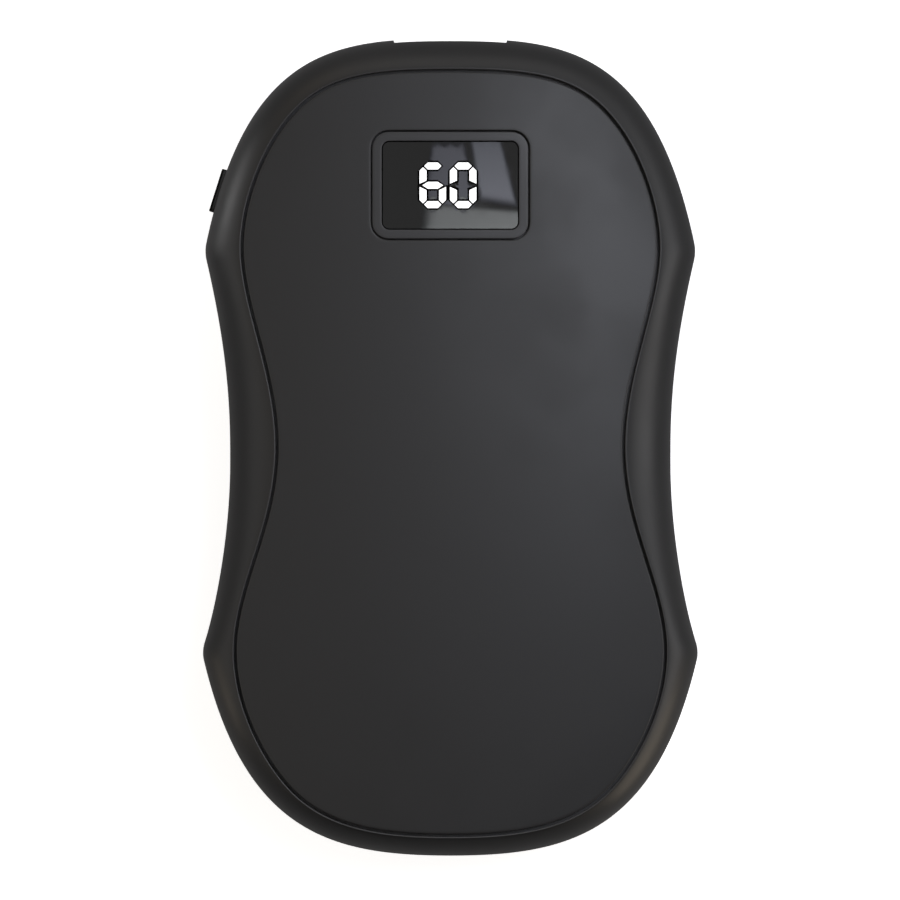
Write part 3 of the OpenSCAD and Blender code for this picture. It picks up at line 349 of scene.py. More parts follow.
def quarter(steps=6):
    """A quarter turn: how far into the piece and how deep, as shares of the radius."""
    a = np.linspace(0, np.pi / 2, steps + 1)
    return list(zip(1 - np.cos(a), 1 - np.sin(a)))


def inside(points, loop):
    """Which points lie inside a closed outline."""
    x, y = points[:, 0][:, None], points[:, 1][:, None]
    a, b = loop, np.roll(loop, -1, axis=0)
    crosses = (a[:, 1] > y) != (b[:, 1] > y)
    with np.errstate(divide="ignore", invalid="ignore"):
        at = a[:, 0] + (y - a[:, 1]) * (b[:, 0] - a[:, 0]) / (b[:, 1] - a[:, 1])
    return (crosses & (x < at)).sum(1) % 2 == 1


def in_any(points, loops):
    """Which points lie inside at least one of several outlines."""
    found = np.zeros(len(points), bool)
    for loop in loops:
        found |= inside(points, loop)
    return found


def within(points, outline, holes):
    """Which points lie inside an outline and outside its holes."""
    return inside(points, outline) & ~in_any(points, holes)


SHARP = 35                     # edges that turn by more degrees than this stay crisp


class Skin:
    """Points and faces of one piece, gathered before Blender gets them."""

    def __init__(self):
        self.points, self.faces, self.zones, self.count = [], [], [], 0

    def add(self, xyz):
        """Adds points and gives back their numbers."""
        xyz = np.asarray(xyz, float)
        self.points.append(xyz)
        self.count += len(xyz)
        return np.arange(self.count - len(xyz), self.count)

    def face(self, corners, zone=0):
        self.faces.append([int(i) for i in corners])
        self.zones.append(zone)

    def bridge(self, a, b, zone=0, closed=True):
        """A strip of faces between two rows of points."""
        last = len(a) if closed else len(a) - 1
        for i in range(last):
            j = (i + 1) % len(a)
            self.face((a[i], a[j], b[j], b[i]), zone)

    def loft(self, rings, closed=False, zone_from=None):
        """Rings of points joined one to the next; closed joins the last to the first.
        From the ring numbered zone_from on, the faces take the second material."""
        rows = [self.add(ring) for ring in rings]
        turn = len(rows) if zone_from is None else zone_from
        for i, (a, b) in enumerate(zip(rows, rows[1:] + rows[:1] if closed else rows[1:])):
            self.bridge(a, b, int(i >= turn))
        if not closed:
            self.face(rows[0][::-1])
            self.face(rows[-1], int(zone_from is not None))

    def piece(self, name, *materials, sharp=SHARP, move=None):
        """The object, moved by a matrix; each face's zone is the number of its material."""
        mesh = bpy.data.meshes.new(name)
        mesh.from_pydata(np.concatenate(self.points).tolist(), [], self.faces)
        if move is not None:
            mesh.transform(move)
        work = bmesh.new()
        work.from_mesh(mesh)
        bmesh.ops.recalc_face_normals(work, faces=work.faces)
        work.to_mesh(mesh)
        work.free()
        return dressed(name, mesh, materials, sharp, self.zones)


def smooth(mesh, sharp=SHARP):
    mesh.shade_smooth()
    mesh.set_sharp_from_angle(angle=math.radians(sharp))


def dressed(name, mesh, materials, sharp, zones):
    """An object of a mesh, smooth up to an angle, with its materials."""
    for material in materials:
        mesh.materials.append(material)
    if any(zones):
        mesh.polygons.foreach_set("material_index", zones)
    smooth(mesh, sharp)
    made = bpy.data.objects.new(name, mesh)
    bpy.context.scene.collection.objects.link(made)
    return made


def paint_edge_highlights(piece, outlines, reach, most=1.0):
    """Gives a piece the attribute edge, which the soft-touch finish shows as a painted highlight, a paler
    line: most beside the outlines, on what faces up or down, and 0 past reach."""
    rows, spacing, up_or_down = [], 0.04 * MM, 0.3
    for a in outlines:
        for corner, way in zip(a, np.roll(a, -1, axis=0) - a):
            n = int(np.linalg.norm(way) / spacing) + 1
            rows += [corner + way * i / n for i in range(n)]
    tree = KDTree(len(rows))
    for i, (x, y) in enumerate(rows):
        tree.insert((x, y, 0), i)
    tree.balance()
    mesh = piece.data
    values = []
    for v in mesh.vertices:
        far = tree.find((v.co.x, v.co.y, 0))[2]
        values.append(most * float(np.clip((1 - far / reach) * 2, 0, 1)) * (abs(v.normal.z) > up_or_down))
    mesh.attributes.new("edge", "FLOAT", "POINT").data.foreach_set("value", values)
    return piece


def with_z(p, z):
    """Points in plan, given one height or one each."""
    return np.column_stack([p, np.broadcast_to(z, len(p))])


def at_x(x, rows):
    """Points in Y and Z, given one X or one each."""
    return np.column_stack([np.broadcast_to(x, len(rows)), rows])


def crowned_plate(skin, loops, height, under, soft, spacing, creases=(), zone=None, hold=0.3 * MM,
                  steps=6, edge_zone=0):
    """A plate with rounded edges under a crowned surface.
    loops: its outline, then its holes, each an outline that moves into the plate by a distance.
    height(points, depth) and under(points) are its two surfaces, and creases more outlines that
    the triangles keep to. zone(points) gives the top's material there, and its border, as wide as
    soft and hold, takes the material of edge_zone."""
    inner = []
    for loop in loops:
        rows = [skin.add(with_z(loop(soft * i), height(loop(soft * i), soft * d)))
                for i, d in quarter(steps)]
        level = loop(soft + hold)
        rows.append(skin.add(with_z(level, height(level, 0))))
        foot = skin.add(with_z(loop(0), under(loop(0))))
        low = skin.add(with_z(level, under(level)))
        skin.bridge(low, foot)
        skin.bridge(foot, rows[0])
        for a, b in zip(rows, rows[1:]):
            skin.bridge(a, b, edge_zone)
        inner.append((level, rows[-1], low))
    outline, holes = inner[0][0], [i[0] for i in inner[1:]]
    lo, hi = outline.min(0), outline.max(0)
    xs = np.arange(lo[0] + spacing / 2, hi[0], spacing)
    ys = np.arange(lo[1] + spacing / 2, hi[1], spacing)
    grid = np.stack(np.meshgrid(xs, ys), -1).reshape(-1, 2)
    clear = [loop(soft + hold + spacing / 2) for loop in loops]
    grid = grid[within(grid, clear[0], clear[1:])]
    fixed = [i[0] for i in inner] + list(creases)
    xy, edges, at = np.concatenate(fixed + [grid]) / MM, [], 0
    for loop in fixed:
        n = len(loop)
        edges += [(at + i, at + (i + 1) % n) for i in range(n)]
        at += n
    verts, _, triangles, ids, _, _ = delaunay_2d_cdt([Vector(v) for v in xy], edges, [], 0, 1e-5)
    flat = np.array([tuple(v) for v in verts]) * MM
    tops, lows = np.concatenate([i[1] for i in inner]), np.concatenate([i[2] for i in inner])
    ring_of = [next((j for j in i if j < len(tops)), -1) for i in ids]
    free = np.array([j < 0 for j in ring_of])
    new_top = skin.add(with_z(flat[free], height(flat[free], 0)))
    new_low = skin.add(with_z(flat[free], under(flat[free])))
    top, low = np.zeros(len(flat), int), np.zeros(len(flat), int)
    top[free], low[free] = new_top, new_low
    for i, j in enumerate(ring_of):
        if j >= 0:
            top[i], low[i] = tops[j], lows[j]
    corners = np.array([list(t) for t in triangles])
    middles = flat[corners].mean(1)
    keep = within(middles, outline, holes)
    marks = zone(middles) if zone else np.zeros(len(corners), int)
    for t, mark in zip(corners[keep], marks[keep]):
        skin.face(top[t], int(mark))
        skin.face(low[t][::-1], 0)


def cut(target, *cutters, operation="DIFFERENCE"):
    """Target with each cutter taken away or joined on, and the cutters gone."""
    for cutter in cutters:
        step = target.modifiers.new(operation.title(), "BOOLEAN")
        step.operation, step.solver, step.object = operation, "EXACT", cutter
    graph = bpy.context.evaluated_depsgraph_get()
    mesh = bpy.data.meshes.new_from_object(target.evaluated_get(graph), depsgraph=graph)
    target.modifiers.clear()
    old, target.data = target.data, mesh
    bpy.data.meshes.remove(old)
    for cutter in cutters:
        bpy.data.objects.remove(cutter)


# Finishes

class Value:
    """A number that varies over a surface, so that shader maths reads as plain sums."""

    def __init__(self, shading, socket):
        self.shading, self.socket = shading, socket

    def maths(self, operation, *others):
        return self.shading.node("ShaderNodeMath", {"operation": operation}, [self, *others])

    def __add__(self, other):
        return self.maths("ADD", other)

    def __sub__(self, other):
        return self.maths("SUBTRACT", other)

    def __mul__(self, other):
        return self.maths("MULTIPLY", other)

    def __truediv__(self, other):
        return self.maths("DIVIDE", other)

    def __rsub__(self, other):
        return self.shading.node("ShaderNodeMath", {"operation": "SUBTRACT"}, [other, self])

    __radd__, __rmul__ = __add__, __mul__

    def step(self, low, high):
        """0 below low, 1 above high, smooth between them."""
        return self.shading.node("ShaderNodeMapRange", {"interpolation_type": "SMOOTHSTEP"},
                                 {"Value": self, "From Min": low, "From Max": high})


class Shading:
    """A node tree, with one method that adds any node to it."""

    def __init__(self, tree):
        self.tree = tree

    def set(self, node, inputs):
        pairs = inputs.items() if isinstance(inputs, dict) else enumerate(inputs)
        for key, value in pairs:
            if isinstance(value, Value):
                self.tree.links.new(value.socket, node.inputs[key])
            else:
                node.inputs[key].default_value = value

    def node(self, kind, settings=None, inputs=(), output=0):
        """Any node: its settings first, then its sockets' values or links."""
        made = self.tree.nodes.new(kind)
        for key, value in (settings or {}).items():
            setattr(made, key, value)
        self.set(made, inputs)
        return Value(self, made.outputs[output])


class Finish(Shading):
    """One material: its Principled shader, and the nodes that vary it over the surface."""

    def __init__(self, name, colour, roughness, **constants):
        self.material = bpy.data.materials.new(name)
        self.material.use_nodes = True
        super().__init__(self.material.node_tree)
        self.shader = self.tree.nodes["Principled BSDF"]
        self.colour = tuple(colour)
        self.set(self.shader, {"Base Color": (*self.colour, 1), "Roughness": roughness})
        for name, value in constants.items():
            self.shader.inputs[name.replace("_", " ").title().replace("Ior", "IOR")].default_value = value
        self.place = self.node("ShaderNodeTexCoord", output="Object")

    def noise(self, size, detail=2.0, roughness=0.5, place=None):
        """Cloudy variation round 0.5, with patches of some size in metres."""
        return self.node("ShaderNodeTexNoise", None,
                         {"Vector": place or self.place, "Scale": 1 / size, "Detail": detail,
                          "Roughness": roughness})

    def axis(self, name):
        return self.node("ShaderNodeSeparateXYZ", None, [self.place], name)

    def stretched(self, x, y, z):
        return self.node("ShaderNodeVectorMath", {"operation": "MULTIPLY"}, [self.place, (x, y, z)])

    def tint(self, share, other, base=None):
        """The base colour, going over to another one where share rises."""
        factor, first, second, mixed = 0, 6, 7, 2
        return self.node("ShaderNodeMix", {"data_type": "RGBA"},
                         {factor: share, first: base or (*self.colour, 1), second: (*other, 1)}, mixed)

    def shade(self, amount, share):
        """The base colour, made lighter or darker by some factor where share rises."""
        return self.tint(share, [amount * c for c in self.colour])

    def bump(self, height, strength, distance):
        normal = self.node("ShaderNodeBump", None,
                           {"Strength": strength, "Distance": distance, "Height": height})
        self.set(self.shader, {"Normal": normal})

    def feed(self, **inputs):
        self.set(self.shader, {name.replace("_", " ").title(): v for name, v in inputs.items()})
        return self.material


def soft_touch(name, colour, grain=0.22 * MM, roughness=0.45):
    """Rubbery paint: a very fine grain, gloss that wanders where hands rub it, and a painted highlight where
    the attribute edge is set.
    """
    f = Finish(name, colour, roughness, specular_ior_level=0.42)
    rub = f.noise(14 * MM, 3)
    fine = f.noise(grain, 2)
    f.bump(fine + f.noise(1.1 * MM, 2) * 0.6, 0.12, 0.01 * MM)
    dust = f.noise(0.5 * MM, 4, 0.7).step(0.70, 0.80)
    rubbed = f.shade(1.12, rub.step(0.35, 0.75) * 0.25)
    # painted highlight: the attribute edge makes the base colour several times paler along marked edges
    edge = f.node("ShaderNodeAttribute", {"attribute_name": "edge"}, output="Fac")
    return f.feed(roughness=rub.step(0.3, 0.7) * 0.07 + (roughness - 0.035) + dust * 0.04,
                  base_color=f.tint(edge, [EDGE_HIGHLIGHT * c for c in colour], rubbed))


def moulded(name, colour, roughness=0.4, grain=0.35 * MM, **constants):
    """Moulded plastic with a spark-eroded grain and faint flow marks."""
    f = Finish(name, colour, roughness, **constants)
    flow = f.noise(5 * MM, 2, 0.5, f.stretched(1, 0.25, 1))
    f.bump(f.noise(grain, 3) + flow * 0.3, 0.1, 0.02 * MM)
    return f.feed(roughness=flow * 0.12 + (roughness - 0.06),
                  base_color=f.shade(1.2, flow.step(0.35, 0.7) * 0.3))


def metal(name, colour, roughness=0.3, grain=(1, 12, 1)):
    """Rolled or plated metal: drawn lines along one way and a little tarnish."""
    f = Finish(name, colour, roughness, metallic=1.0)
    drawn = f.noise(2.5 * MM, 3, 0.6, f.stretched(*grain))
    stain = f.noise(4 * MM, 3)
    f.bump(drawn, 0.08, 0.01 * MM)
    return f.feed(roughness=drawn * 0.14 + (roughness - 0.05) + stain.step(0.5, 0.8) * 0.1,
                  base_color=f.shade(0.72, stain.step(0.5, 0.85) * 0.5))


def rubber(name, colour, gloss=0.3):
    """Dull rubber or foamed rubber with open pores, with painted shade darkening each pore."""
    f = Finish(name, colour, 0.85, specular_ior_level=gloss)
    pores = f.node("ShaderNodeTexVoronoi", None, {"Vector": f.place, "Scale": 1 / (0.45 * MM)})
    f.bump(pores * 0.8 + f.noise(0.2 * MM, 2), 0.4, 0.08 * MM)
    # painted shade: the base colour falls to 0.45 of itself in the pores, where the bump dips
    return f.feed(roughness=pores.step(0.0, 0.6) * 0.1 + 0.8,
                  base_color=f.shade(0.45, 1 - pores.step(0.1, 0.45)))


def solder_mask(name, colour):
    """Circuit board: lacquer over copper tracks, with tinned rings left bare."""
    f = Finish(name, colour, 0.35, coat_weight=0.4, coat_roughness=0.15)
    x, y = f.axis("X"), f.axis("Y")
    bend = f.noise(5 * MM, 0) * (4 * MM)
    across = ((x + bend) / (0.9 * MM)).maths("PINGPONG", 1.0)
    along = ((y + bend) / (1.6 * MM)).maths("PINGPONG", 1.0)
    patch = f.noise(6 * MM, 1).step(0.49, 0.51)
    track = across.step(0.62, 0.68) * patch + along.step(0.72, 0.78) * (1 - patch)
    f.bump(track + f.noise(0.25 * MM, 2) * 0.15, 0.25, 0.03 * MM)
    return f.feed(base_color=f.shade(2.2, track * 0.6), roughness=track * 0.08 + 0.3)


def film(name, colour, trace):
    """Amber film with an etched heating trace that runs to and fro."""
    f = Finish(name, colour, 0.3, coat_weight=0.6, coat_roughness=0.1)
    rows = (f.axis("Y") / (1.5 * MM)).maths("PINGPONG", 1.0)
    ends = f.axis("X").maths("ABSOLUTE").step(19 * MM, 19.2 * MM)
    line = rows.step(0.55, 0.62) * (1 - ends)
    f.bump(line, 0.3, 0.03 * MM)
    return f.feed(base_color=f.tint(line * 0.85, trace), roughness=line * 0.12 + 0.25)


def foil(name, colour):
    """Laminated pouch foil: crinkled, with a satin shine."""
    f = Finish(name, colour, 0.35, metallic=0.85)
    creases = f.node("ShaderNodeTexVoronoi", {"feature": "DISTANCE_TO_EDGE"},
                     {"Vector": f.place, "Scale": 1 / (9 * MM)})
    dents = f.noise(3 * MM, 3)
    f.bump(creases.step(0.0, 0.08) * 0.5 + dents, 0.25, 0.12 * MM)
    return f.feed(roughness=dents * 0.2 + 0.25,
                  base_color=f.shade(0.8, dents.step(0.4, 0.75) * 0.4))


def glowing(name, colour, strength):
    """White plastic lit from behind: an even glow with faint clouds."""
    f = Finish(name, (0.9, 0.9, 0.9), 0.5, emission_strength=strength)
    cloud = f.noise(1.5 * MM, 1)
    f.bump(f.noise(0.12 * MM, 1), 0.05, 0.01 * MM)
    return f.feed(emission_color=f.tint(cloud.step(0.3, 0.8) * 0.1, [0.92 * c for c in colour]),
                  roughness=cloud * 0.1 + 0.45)


def smoked(name, tint):
    """Smoked clear plastic, almost too dark to see through."""
    f = Finish(name, tint, 0.03, transmission_weight=1.0, ior=1.5)
    smear = f.noise(3 * MM, 2)
    return f.feed(roughness=smear.step(0.4, 0.8) * 0.02 + 0.02,
                  base_color=f.shade(0.9, smear * 0.1))


def finishes(colours):
    """All the materials of the hand warmer: the slots of the CAD nodes, and three that only pieces here use.
    """
    return {
        "soft_touch_shell": soft_touch("Soft touch shell", colours.shell, roughness=0.42),
        "satin_bezel": soft_touch("Satin bezel", colours.bezel, 0.16 * MM, 0.42),
        "smoked_lens": smoked("Smoked lens", colours.lens),
        "mask_ink": moulded("Mask ink", (0.002, 0.002, 0.002), 0.8, 0.1 * MM, specular_ior_level=0.0),
        "digit_window": glowing("Digit window", colours.lit, 1.0),
        "black_rubber": rubber("Gasket rubber", (0.012, 0.012, 0.012)),
        "black_plastic": moulded("Black plastic", (0.004, 0.004, 0.004), 0.7, specular_ior_level=0.1),
        "lit_segment": glowing("Lit segment", colours.lit, 1.0),
        "unlit_segment": moulded("Unlit segment", (0.006, 0.006, 0.006), 0.6, specular_ior_level=0.1),
        "tinned_metal": metal("Tinned metal", (0.62, 0.6, 0.56), 0.35),
        "button_plastic": soft_touch("Button plastic", colours.button, 0.18 * MM, 0.42),
        # painted shade: the button's face is much darker than its plastic
        "button_face_painted_shade": rubber("Button face", (0.005, 0.005, 0.005), 0.15),
        "ivory_plastic": moulded("Ivory plastic", (0.74, 0.66, 0.5), 0.4),
        "port_plastic": moulded("Port plastic", (0.018, 0.018, 0.019), 0.42),
        "steel_shell": metal("Socket steel", (0.56, 0.56, 0.57), 0.22),
        "contact_brass": metal("Contact brass", (0.78, 0.55, 0.22), 0.25),
        "board_green": solder_mask("Board green", colours.board),
        "ferrite": moulded("Ferrite", (0.05, 0.05, 0.052), 0.6, 0.2 * MM),
        "ceramic_tan": moulded("Tan ceramic", (0.42, 0.3, 0.18), 0.45, 0.15 * MM),
        "tray_plastic": moulded("Tray plastic", (0.03, 0.03, 0.032), 0.5),
        "cell_foil": foil("Cell foil", (0.6, 0.61, 0.63)),
        "red_lead": moulded("Red lead", (0.45, 0.02, 0.015), 0.35, 0.6 * MM),
        "pale_lead": moulded("Pale lead", (0.55, 0.53, 0.48), 0.35, 0.6 * MM),
        "spreader_aluminium": metal("Spreader aluminium", (0.8, 0.81, 0.82), 0.32, (12, 1, 1)),
        "heater_film": film("Heater film", (0.5, 0.2, 0.035), (0.32, 0.13, 0.05)),
        "foam": rubber("Grey foam", (0.1, 0.1, 0.105)),
        "screw_steel": metal("Screw steel", (0.5, 0.49, 0.48), 0.28, (1, 1, 12)),
    }


WORK = SimpleNamespace()


def start(scene):
    """What the operators share: the sizes, the body's outlines and the finishes.
    The first call also gives every CAD node its finish."""
    if not hasattr(WORK, "finishes"):
        WORK.sizes = scene.hand_warmer
        WORK.body = Body(WORK.sizes)
        WORK.finishes = finishes(WORK.sizes.colours)
        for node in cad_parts.values():
            node.data.materials.clear()
            node.data.materials.append(WORK.finishes[SLOT_OF[node.name]])
    return WORK


SLOT_OF = {name: slot for slot, names in {
    "soft_touch_shell": "mid_frame front_cover rear_cover",
    "satin_bezel": "display_bezel", "smoked_lens": "display_lens", "black_rubber": "display_gasket",
    "black_plastic": "display_housing switch_body controller_chips front_thermistor rear_thermistor "
                     "usb_c_tongue",
    "lit_segment": "digit_segments_lit", "unlit_segment": "digit_segments_unlit",
    "tinned_metal": "display_pins battery_tabs", "button_plastic": "power_button",
    "ivory_plastic": "switch_plunger battery_connector", "port_plastic": "port_plate",
    "steel_shell": "usb_c_shell", "contact_brass": "usb_c_contacts",
    "board_green": "main_board protection_board", "ferrite": "power_inductor",
    "ceramic_tan": "board_capacitors", "tray_plastic": "battery_tray", "cell_foil": "battery_cell",
    "red_lead": "battery_leads", "pale_lead": "front_heater_leads rear_heater_leads",
    "spreader_aluminium": "front_heat_spreader rear_heat_spreader",
    "heater_film": "front_heater_film rear_heater_film", "foam": "front_foam rear_foam",
    "screw_steel": "board_screws tray_screws",
}.items() for name in names.split()}


def seated(piece, node, body="housing"):
    """The piece stands for a CAD node, which it hides, and moves with its body."""
    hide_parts(node)
    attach(piece, body)
    return piece


def button_frame(work):
    """The button's own frame: X out of the rim, Y along it, at the silhouette."""
    b, side = work.sizes.button, work.body.silhouette()
    side = side[side[:, 1] > work.body.upper[1]][::-1]
    y = work.sizes.body.body / 2 - b.down
    at = lambda h: float(np.interp(h, side[:, 1], side[:, 0]))
    x0, x1 = at(y - b.long / 2), at(y + b.long / 2)
    tilt = math.atan2(x0 - x1, b.long)
    return (Matrix.Translation((-at(y), y, work.body.mid))
            @ Matrix.Rotation(math.pi - tilt, 4, "Z"))


def rim_opening(w, h, gap, r):
    """The outline of an opening with a gap all round, which grows by some distance."""
    return lambda grow: rounded_rect(w + 2 * gap + 2 * grow, h + 2 * gap + 2 * grow, r + grow)


def flared_cutter(name, target, outline, frame_of_hole, soft):
    """A prism whose mouth opens in a rounded flare that follows the target's surface.
    outline(e) is the hole grown by e, in the hole's Y and Z; X points out of the surface."""
    reach = 6 * MM
    tree = BVHTree.FromObject(target, bpy.context.evaluated_depsgraph_get())
    way = (frame_of_hole.to_3x3() @ Vector((-1, 0, 0))).normalized()

    def surface(rows):
        found = []
        for y, z in rows:
            hit = tree.ray_cast(frame_of_hole @ Vector((reach, y, z)), way)[0]
            found.append((frame_of_hole.inverted() @ hit).x)
        return np.array(found)

    def ring(grow, drop):
        rows = outline(grow)
        return at_x(surface(rows) - drop, rows)

    rings = [at_x(-reach, outline(0))] + [ring(soft * out, soft * deep) for out, deep in quarter()]
    rings.append(ring(soft, -reach / 2))
    skin = Skin()
    skin.loft(rings)
    return skin.piece(name, move=frame_of_hole)


class HANDWARMER_OT_rim(bpy.types.Operator):
    """Builds the one-piece rim, with its ledges, its pads and its two openings"""
    bl_idname = "handwarmer.rim"
    bl_label = "Rim"

    def execute(self, context):
        work = start(context.scene)
        body, r, b = work.body, work.sizes.rim, work.sizes.button
        p, q, n = body.stations()
        lip = q + r.groove / 2 * n
        ledge, wall = q - r.ledge * n, p - r.wall * unit(p - q)
        seat = work.sizes.body.cover + SEAT
        soft_from = lip + r.soft * n
        outer = []
        for height, sign in ((body.front, 1), (body.rear, -1)):
            half = [with_z(lip, height(lip, seat))]
            for out, deep in quarter(6):
                at = lip + r.soft * out * n
                half.append(with_z(at, height(at) - sign * r.soft * deep))
            for t in np.linspace(0, 1, RIM_STEPS + 1)[1:]:
                a = np.pi / 2 * (1 - (1 - t) ** RIM_CROWDING)
                out, up = math.sin(a) ** (2 / RIM_POWERS[0]), abs(math.cos(a)) ** (2 / RIM_POWERS[1])
                z = body.mid + (height(soft_from) - body.mid) * up
                half.append(with_z(soft_from + (p - soft_from) * out, z))
            outer.append(half)
        front, rear = outer
        rings = front + rear[-2::-1] + [
            with_z(ledge, body.rear(ledge, seat)), with_z(ledge, body.rear(ledge, seat + r.ledge_deep)),
            with_z(wall, body.rear(ledge, seat + 2 * r.ledge_deep)),
            with_z(wall, body.front(ledge, seat + 2 * r.ledge_deep)),
            with_z(ledge, body.front(ledge, seat + r.ledge_deep)), with_z(ledge, body.front(ledge, seat))]
        skin = Skin()
        skin.loft(rings, closed=True)
        rim = skin.piece("rim_ring", work.finishes["soft_touch_shell"])
        at_button, port = button_frame(work), work.sizes.port
        at_port = (Matrix.Translation((0, work.sizes.body.body / 2, body.mid))
                   @ Matrix.Rotation(math.pi / 2, 4, "Z"))
        button_cut = rim_opening(b.long, b.high, b.gap, b.corner)
        port_cut = rim_opening(port.wide, port.high, FIT, PLATE_CORNER)
        cutters = [flared_cutter("button cutter", rim, button_cut, at_button, 0.25 * MM),
                   flared_cutter("port cutter", rim, port_cut, at_port, 0.08 * MM)]
        pad_wide, pad_deep, pad_back = BUTTON_FLANGE + 2 * MM, 1.3 * MM, -PAD_SHARE * r.wall
        pad_outline = rounded_rect(b.long + pad_wide, b.high + pad_wide, 0.5 * MM)
        pad = Skin()
        pad.loft([at_x(x, pad_outline) for x in (pad_back, pad_back + pad_deep)])
        cut(rim, pad.piece("button pad", move=at_button), operation="UNION")
        cut(rim, *cutters)
        smooth(rim.data)
        # painted highlight along the rim's edges beside the groove
        paint_edge_highlights(rim, [body.seam(r.groove / 2, 100)], r.soft)
        seated(rim, "mid_frame")
        return {"FINISHED"}


def hook_places(body):
    """Where the snap hooks stand, and the way out there in degrees."""
    sides = [place for p in (body.upper, body.waist, body.lower)
             for place in ((p, 0), (p * (-1, 1), 180))]
    return [(body.top, 90), (body.bottom, -90)] + sides


def add_hooks(skin, work, apex, flip):
    """Snap hooks under a cover: a bar with a rounded barb that clips under the rim's ledge.
    Their profile's x runs outwards from the seam."""
    body, r, cover = work.body, work.sizes.rim, work.sizes.body.cover
    hook_in, thick, long, soft = r.ledge + LOOSE, 1 * MM, 4 * MM, 0.15 * MM
    barb, barb_deep, barb_edge, play = 0.7 * MM, 1 * MM, 0.1 * MM, 0.25 * MM
    inner, face, tip = -hook_in - thick, -hook_in, -hook_in + barb
    for p, turn in hook_places(body):
        out = np.array([math.cos(math.radians(turn)), math.sin(math.radians(turn))])
        side = np.array([-out[1], out[0]])
        foot = p - (hook_in + thick / 2) * out
        root = float(body.crown(apex, foot, cover / 2)[0])
        top = float(body.crown(apex, p, cover + SEAT + r.ledge_deep + FIT)[0]) - play
        profile = [(inner, root), (face, root), (face, top), (face + barb * 0.9, top),
                   (tip, top - barb_edge), (tip, top - 2 * barb_edge), (face, top - barb_deep),
                   (inner, top - barb_deep)]
        rings = []
        for s in (-1, -0.94, 0.94, 1):
            shrink = soft if abs(s) == 1 else 0
            ring = []
            for x, z in profile:
                x = np.clip(x, inner + shrink, tip - shrink)
                place = p + x * out + s * long / 2 * side
                ring.append((place[0], place[1], flip * z))
            rings.append(ring)
        skin.loft(rings)


def add_post(skin, place, low, high, radius, bore, depth):
    """A screw post with a bored foot and a rounded mouth."""
    soft, circle = 0.15 * MM, round_points(48)
    ring = lambda rad, z: with_z(np.array(place) + rad * circle, z)
    skin.loft([ring(radius, high), ring(radius, low + soft), ring(radius - soft, low),
               ring(bore + soft, low), ring(bore, low + soft), ring(bore, low + depth)])


def screw_places():
    """Centres of the CAD model's screws, from the two screw nodes: points that lie closer than
    reach to a screw's first point belong to it."""
    found, reach = {}, 4.5 * MM
    for node in ("board_screws", "tray_screws"):
        points = np.array([v.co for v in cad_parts[node].data.vertices])
        places = []
        for x, y, _ in points:
            near = next((c for c in places if math.hypot(c[0] - x, c[1] - y) < reach), None)
            if near is None:
                places.append([x, y, x, y, x, y])
                near = places[-1]
            near[2:] = [min(near[2], x), min(near[3], y), max(near[4], x), max(near[5], y)]
        found[node] = [((c[2] + c[4]) / 2, (c[3] + c[5]) / 2) for c in places]
    return found


class HANDWARMER_OT_covers(bpy.types.Operator):
    """Builds the two crowned covers, with their hooks and screw posts"""
    bl_idname = "handwarmer.covers"
    bl_label = "Covers"

    def execute(self, context):
        work = start(context.scene)
        body, sizes = work.body, work.sizes
        b, r, d = sizes.body, sizes.rim, sizes.display
        shell, spacing = work.finishes["soft_touch_shell"], 1.5 * MM
        outline = lambda into: body.seam(-r.groove / 2 - into)
        middle = np.array([0, work_middle(d)])
        opening = lambda into: middle + rounded_rect(d.wide + 2 * (d.gap + into),
                                                     d.high + 2 * (d.gap + into), d.corner + d.gap + into)
        front = Skin()
        crowned_plate(front, [outline, opening], lambda p, deep: body.front(p) - deep,
                      lambda p: body.front(p, b.cover), r.soft, spacing)
        add_hooks(front, work, b.thickness, 1)
        places = screw_places()
        tray_low, board_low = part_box("battery_tray")[0].z + 1 * MM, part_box("main_board")[1].z
        for node, low in (("tray_screws", tray_low), ("board_screws", board_low)):
            for place in places[node]:
                high = float(body.front([place], b.cover / 2)[0])
                add_post(front, place, low + SEAT, high, b.post, SCREW_BORE, SCREW_DEPTH)
        lines = [body.seam(-r.groove / 2, 100), opening(0)]
        # a fainter painted highlight along the front cover's edges
        seated(paint_edge_highlights(front.piece("front_cover_shell", shell), lines, r.soft, FAINT_EDGE_HIGHLIGHT),
               "front_cover")

        def rested(p, deep):
            """The rear crown, cut flat where the body rests, with a blend at the flat's border."""
            z, blend_from = body.crown(b.rest_cut, p), 0.02 * MM
            blend = np.maximum(blend_from - np.abs(z), 0) ** 2 / (4 * blend_from)
            return -(np.minimum(z, 0) - blend - deep)

        flat_border = round_points(180) * np.sqrt([2 * b.rest_cut * b.across, 2 * b.rest_cut * b.along])
        rear = Skin()
        crowned_plate(rear, [outline], rested, lambda p: body.rear(p, b.cover), r.soft, spacing,
                      creases=[flat_border * s for s in (0.965, 0.98, 0.99, 1.0, 1.01, 1.02, 1.035)])
        add_hooks(rear, work, b.rest_cut, -1)
        # a fainter painted highlight along the rear cover's edges
        seated(paint_edge_highlights(rear.piece("rear_cover_shell", shell), lines[:1], r.soft, FAINT_EDGE_HIGHLIGHT),
               "rear_cover")
        return {"FINISHED"}


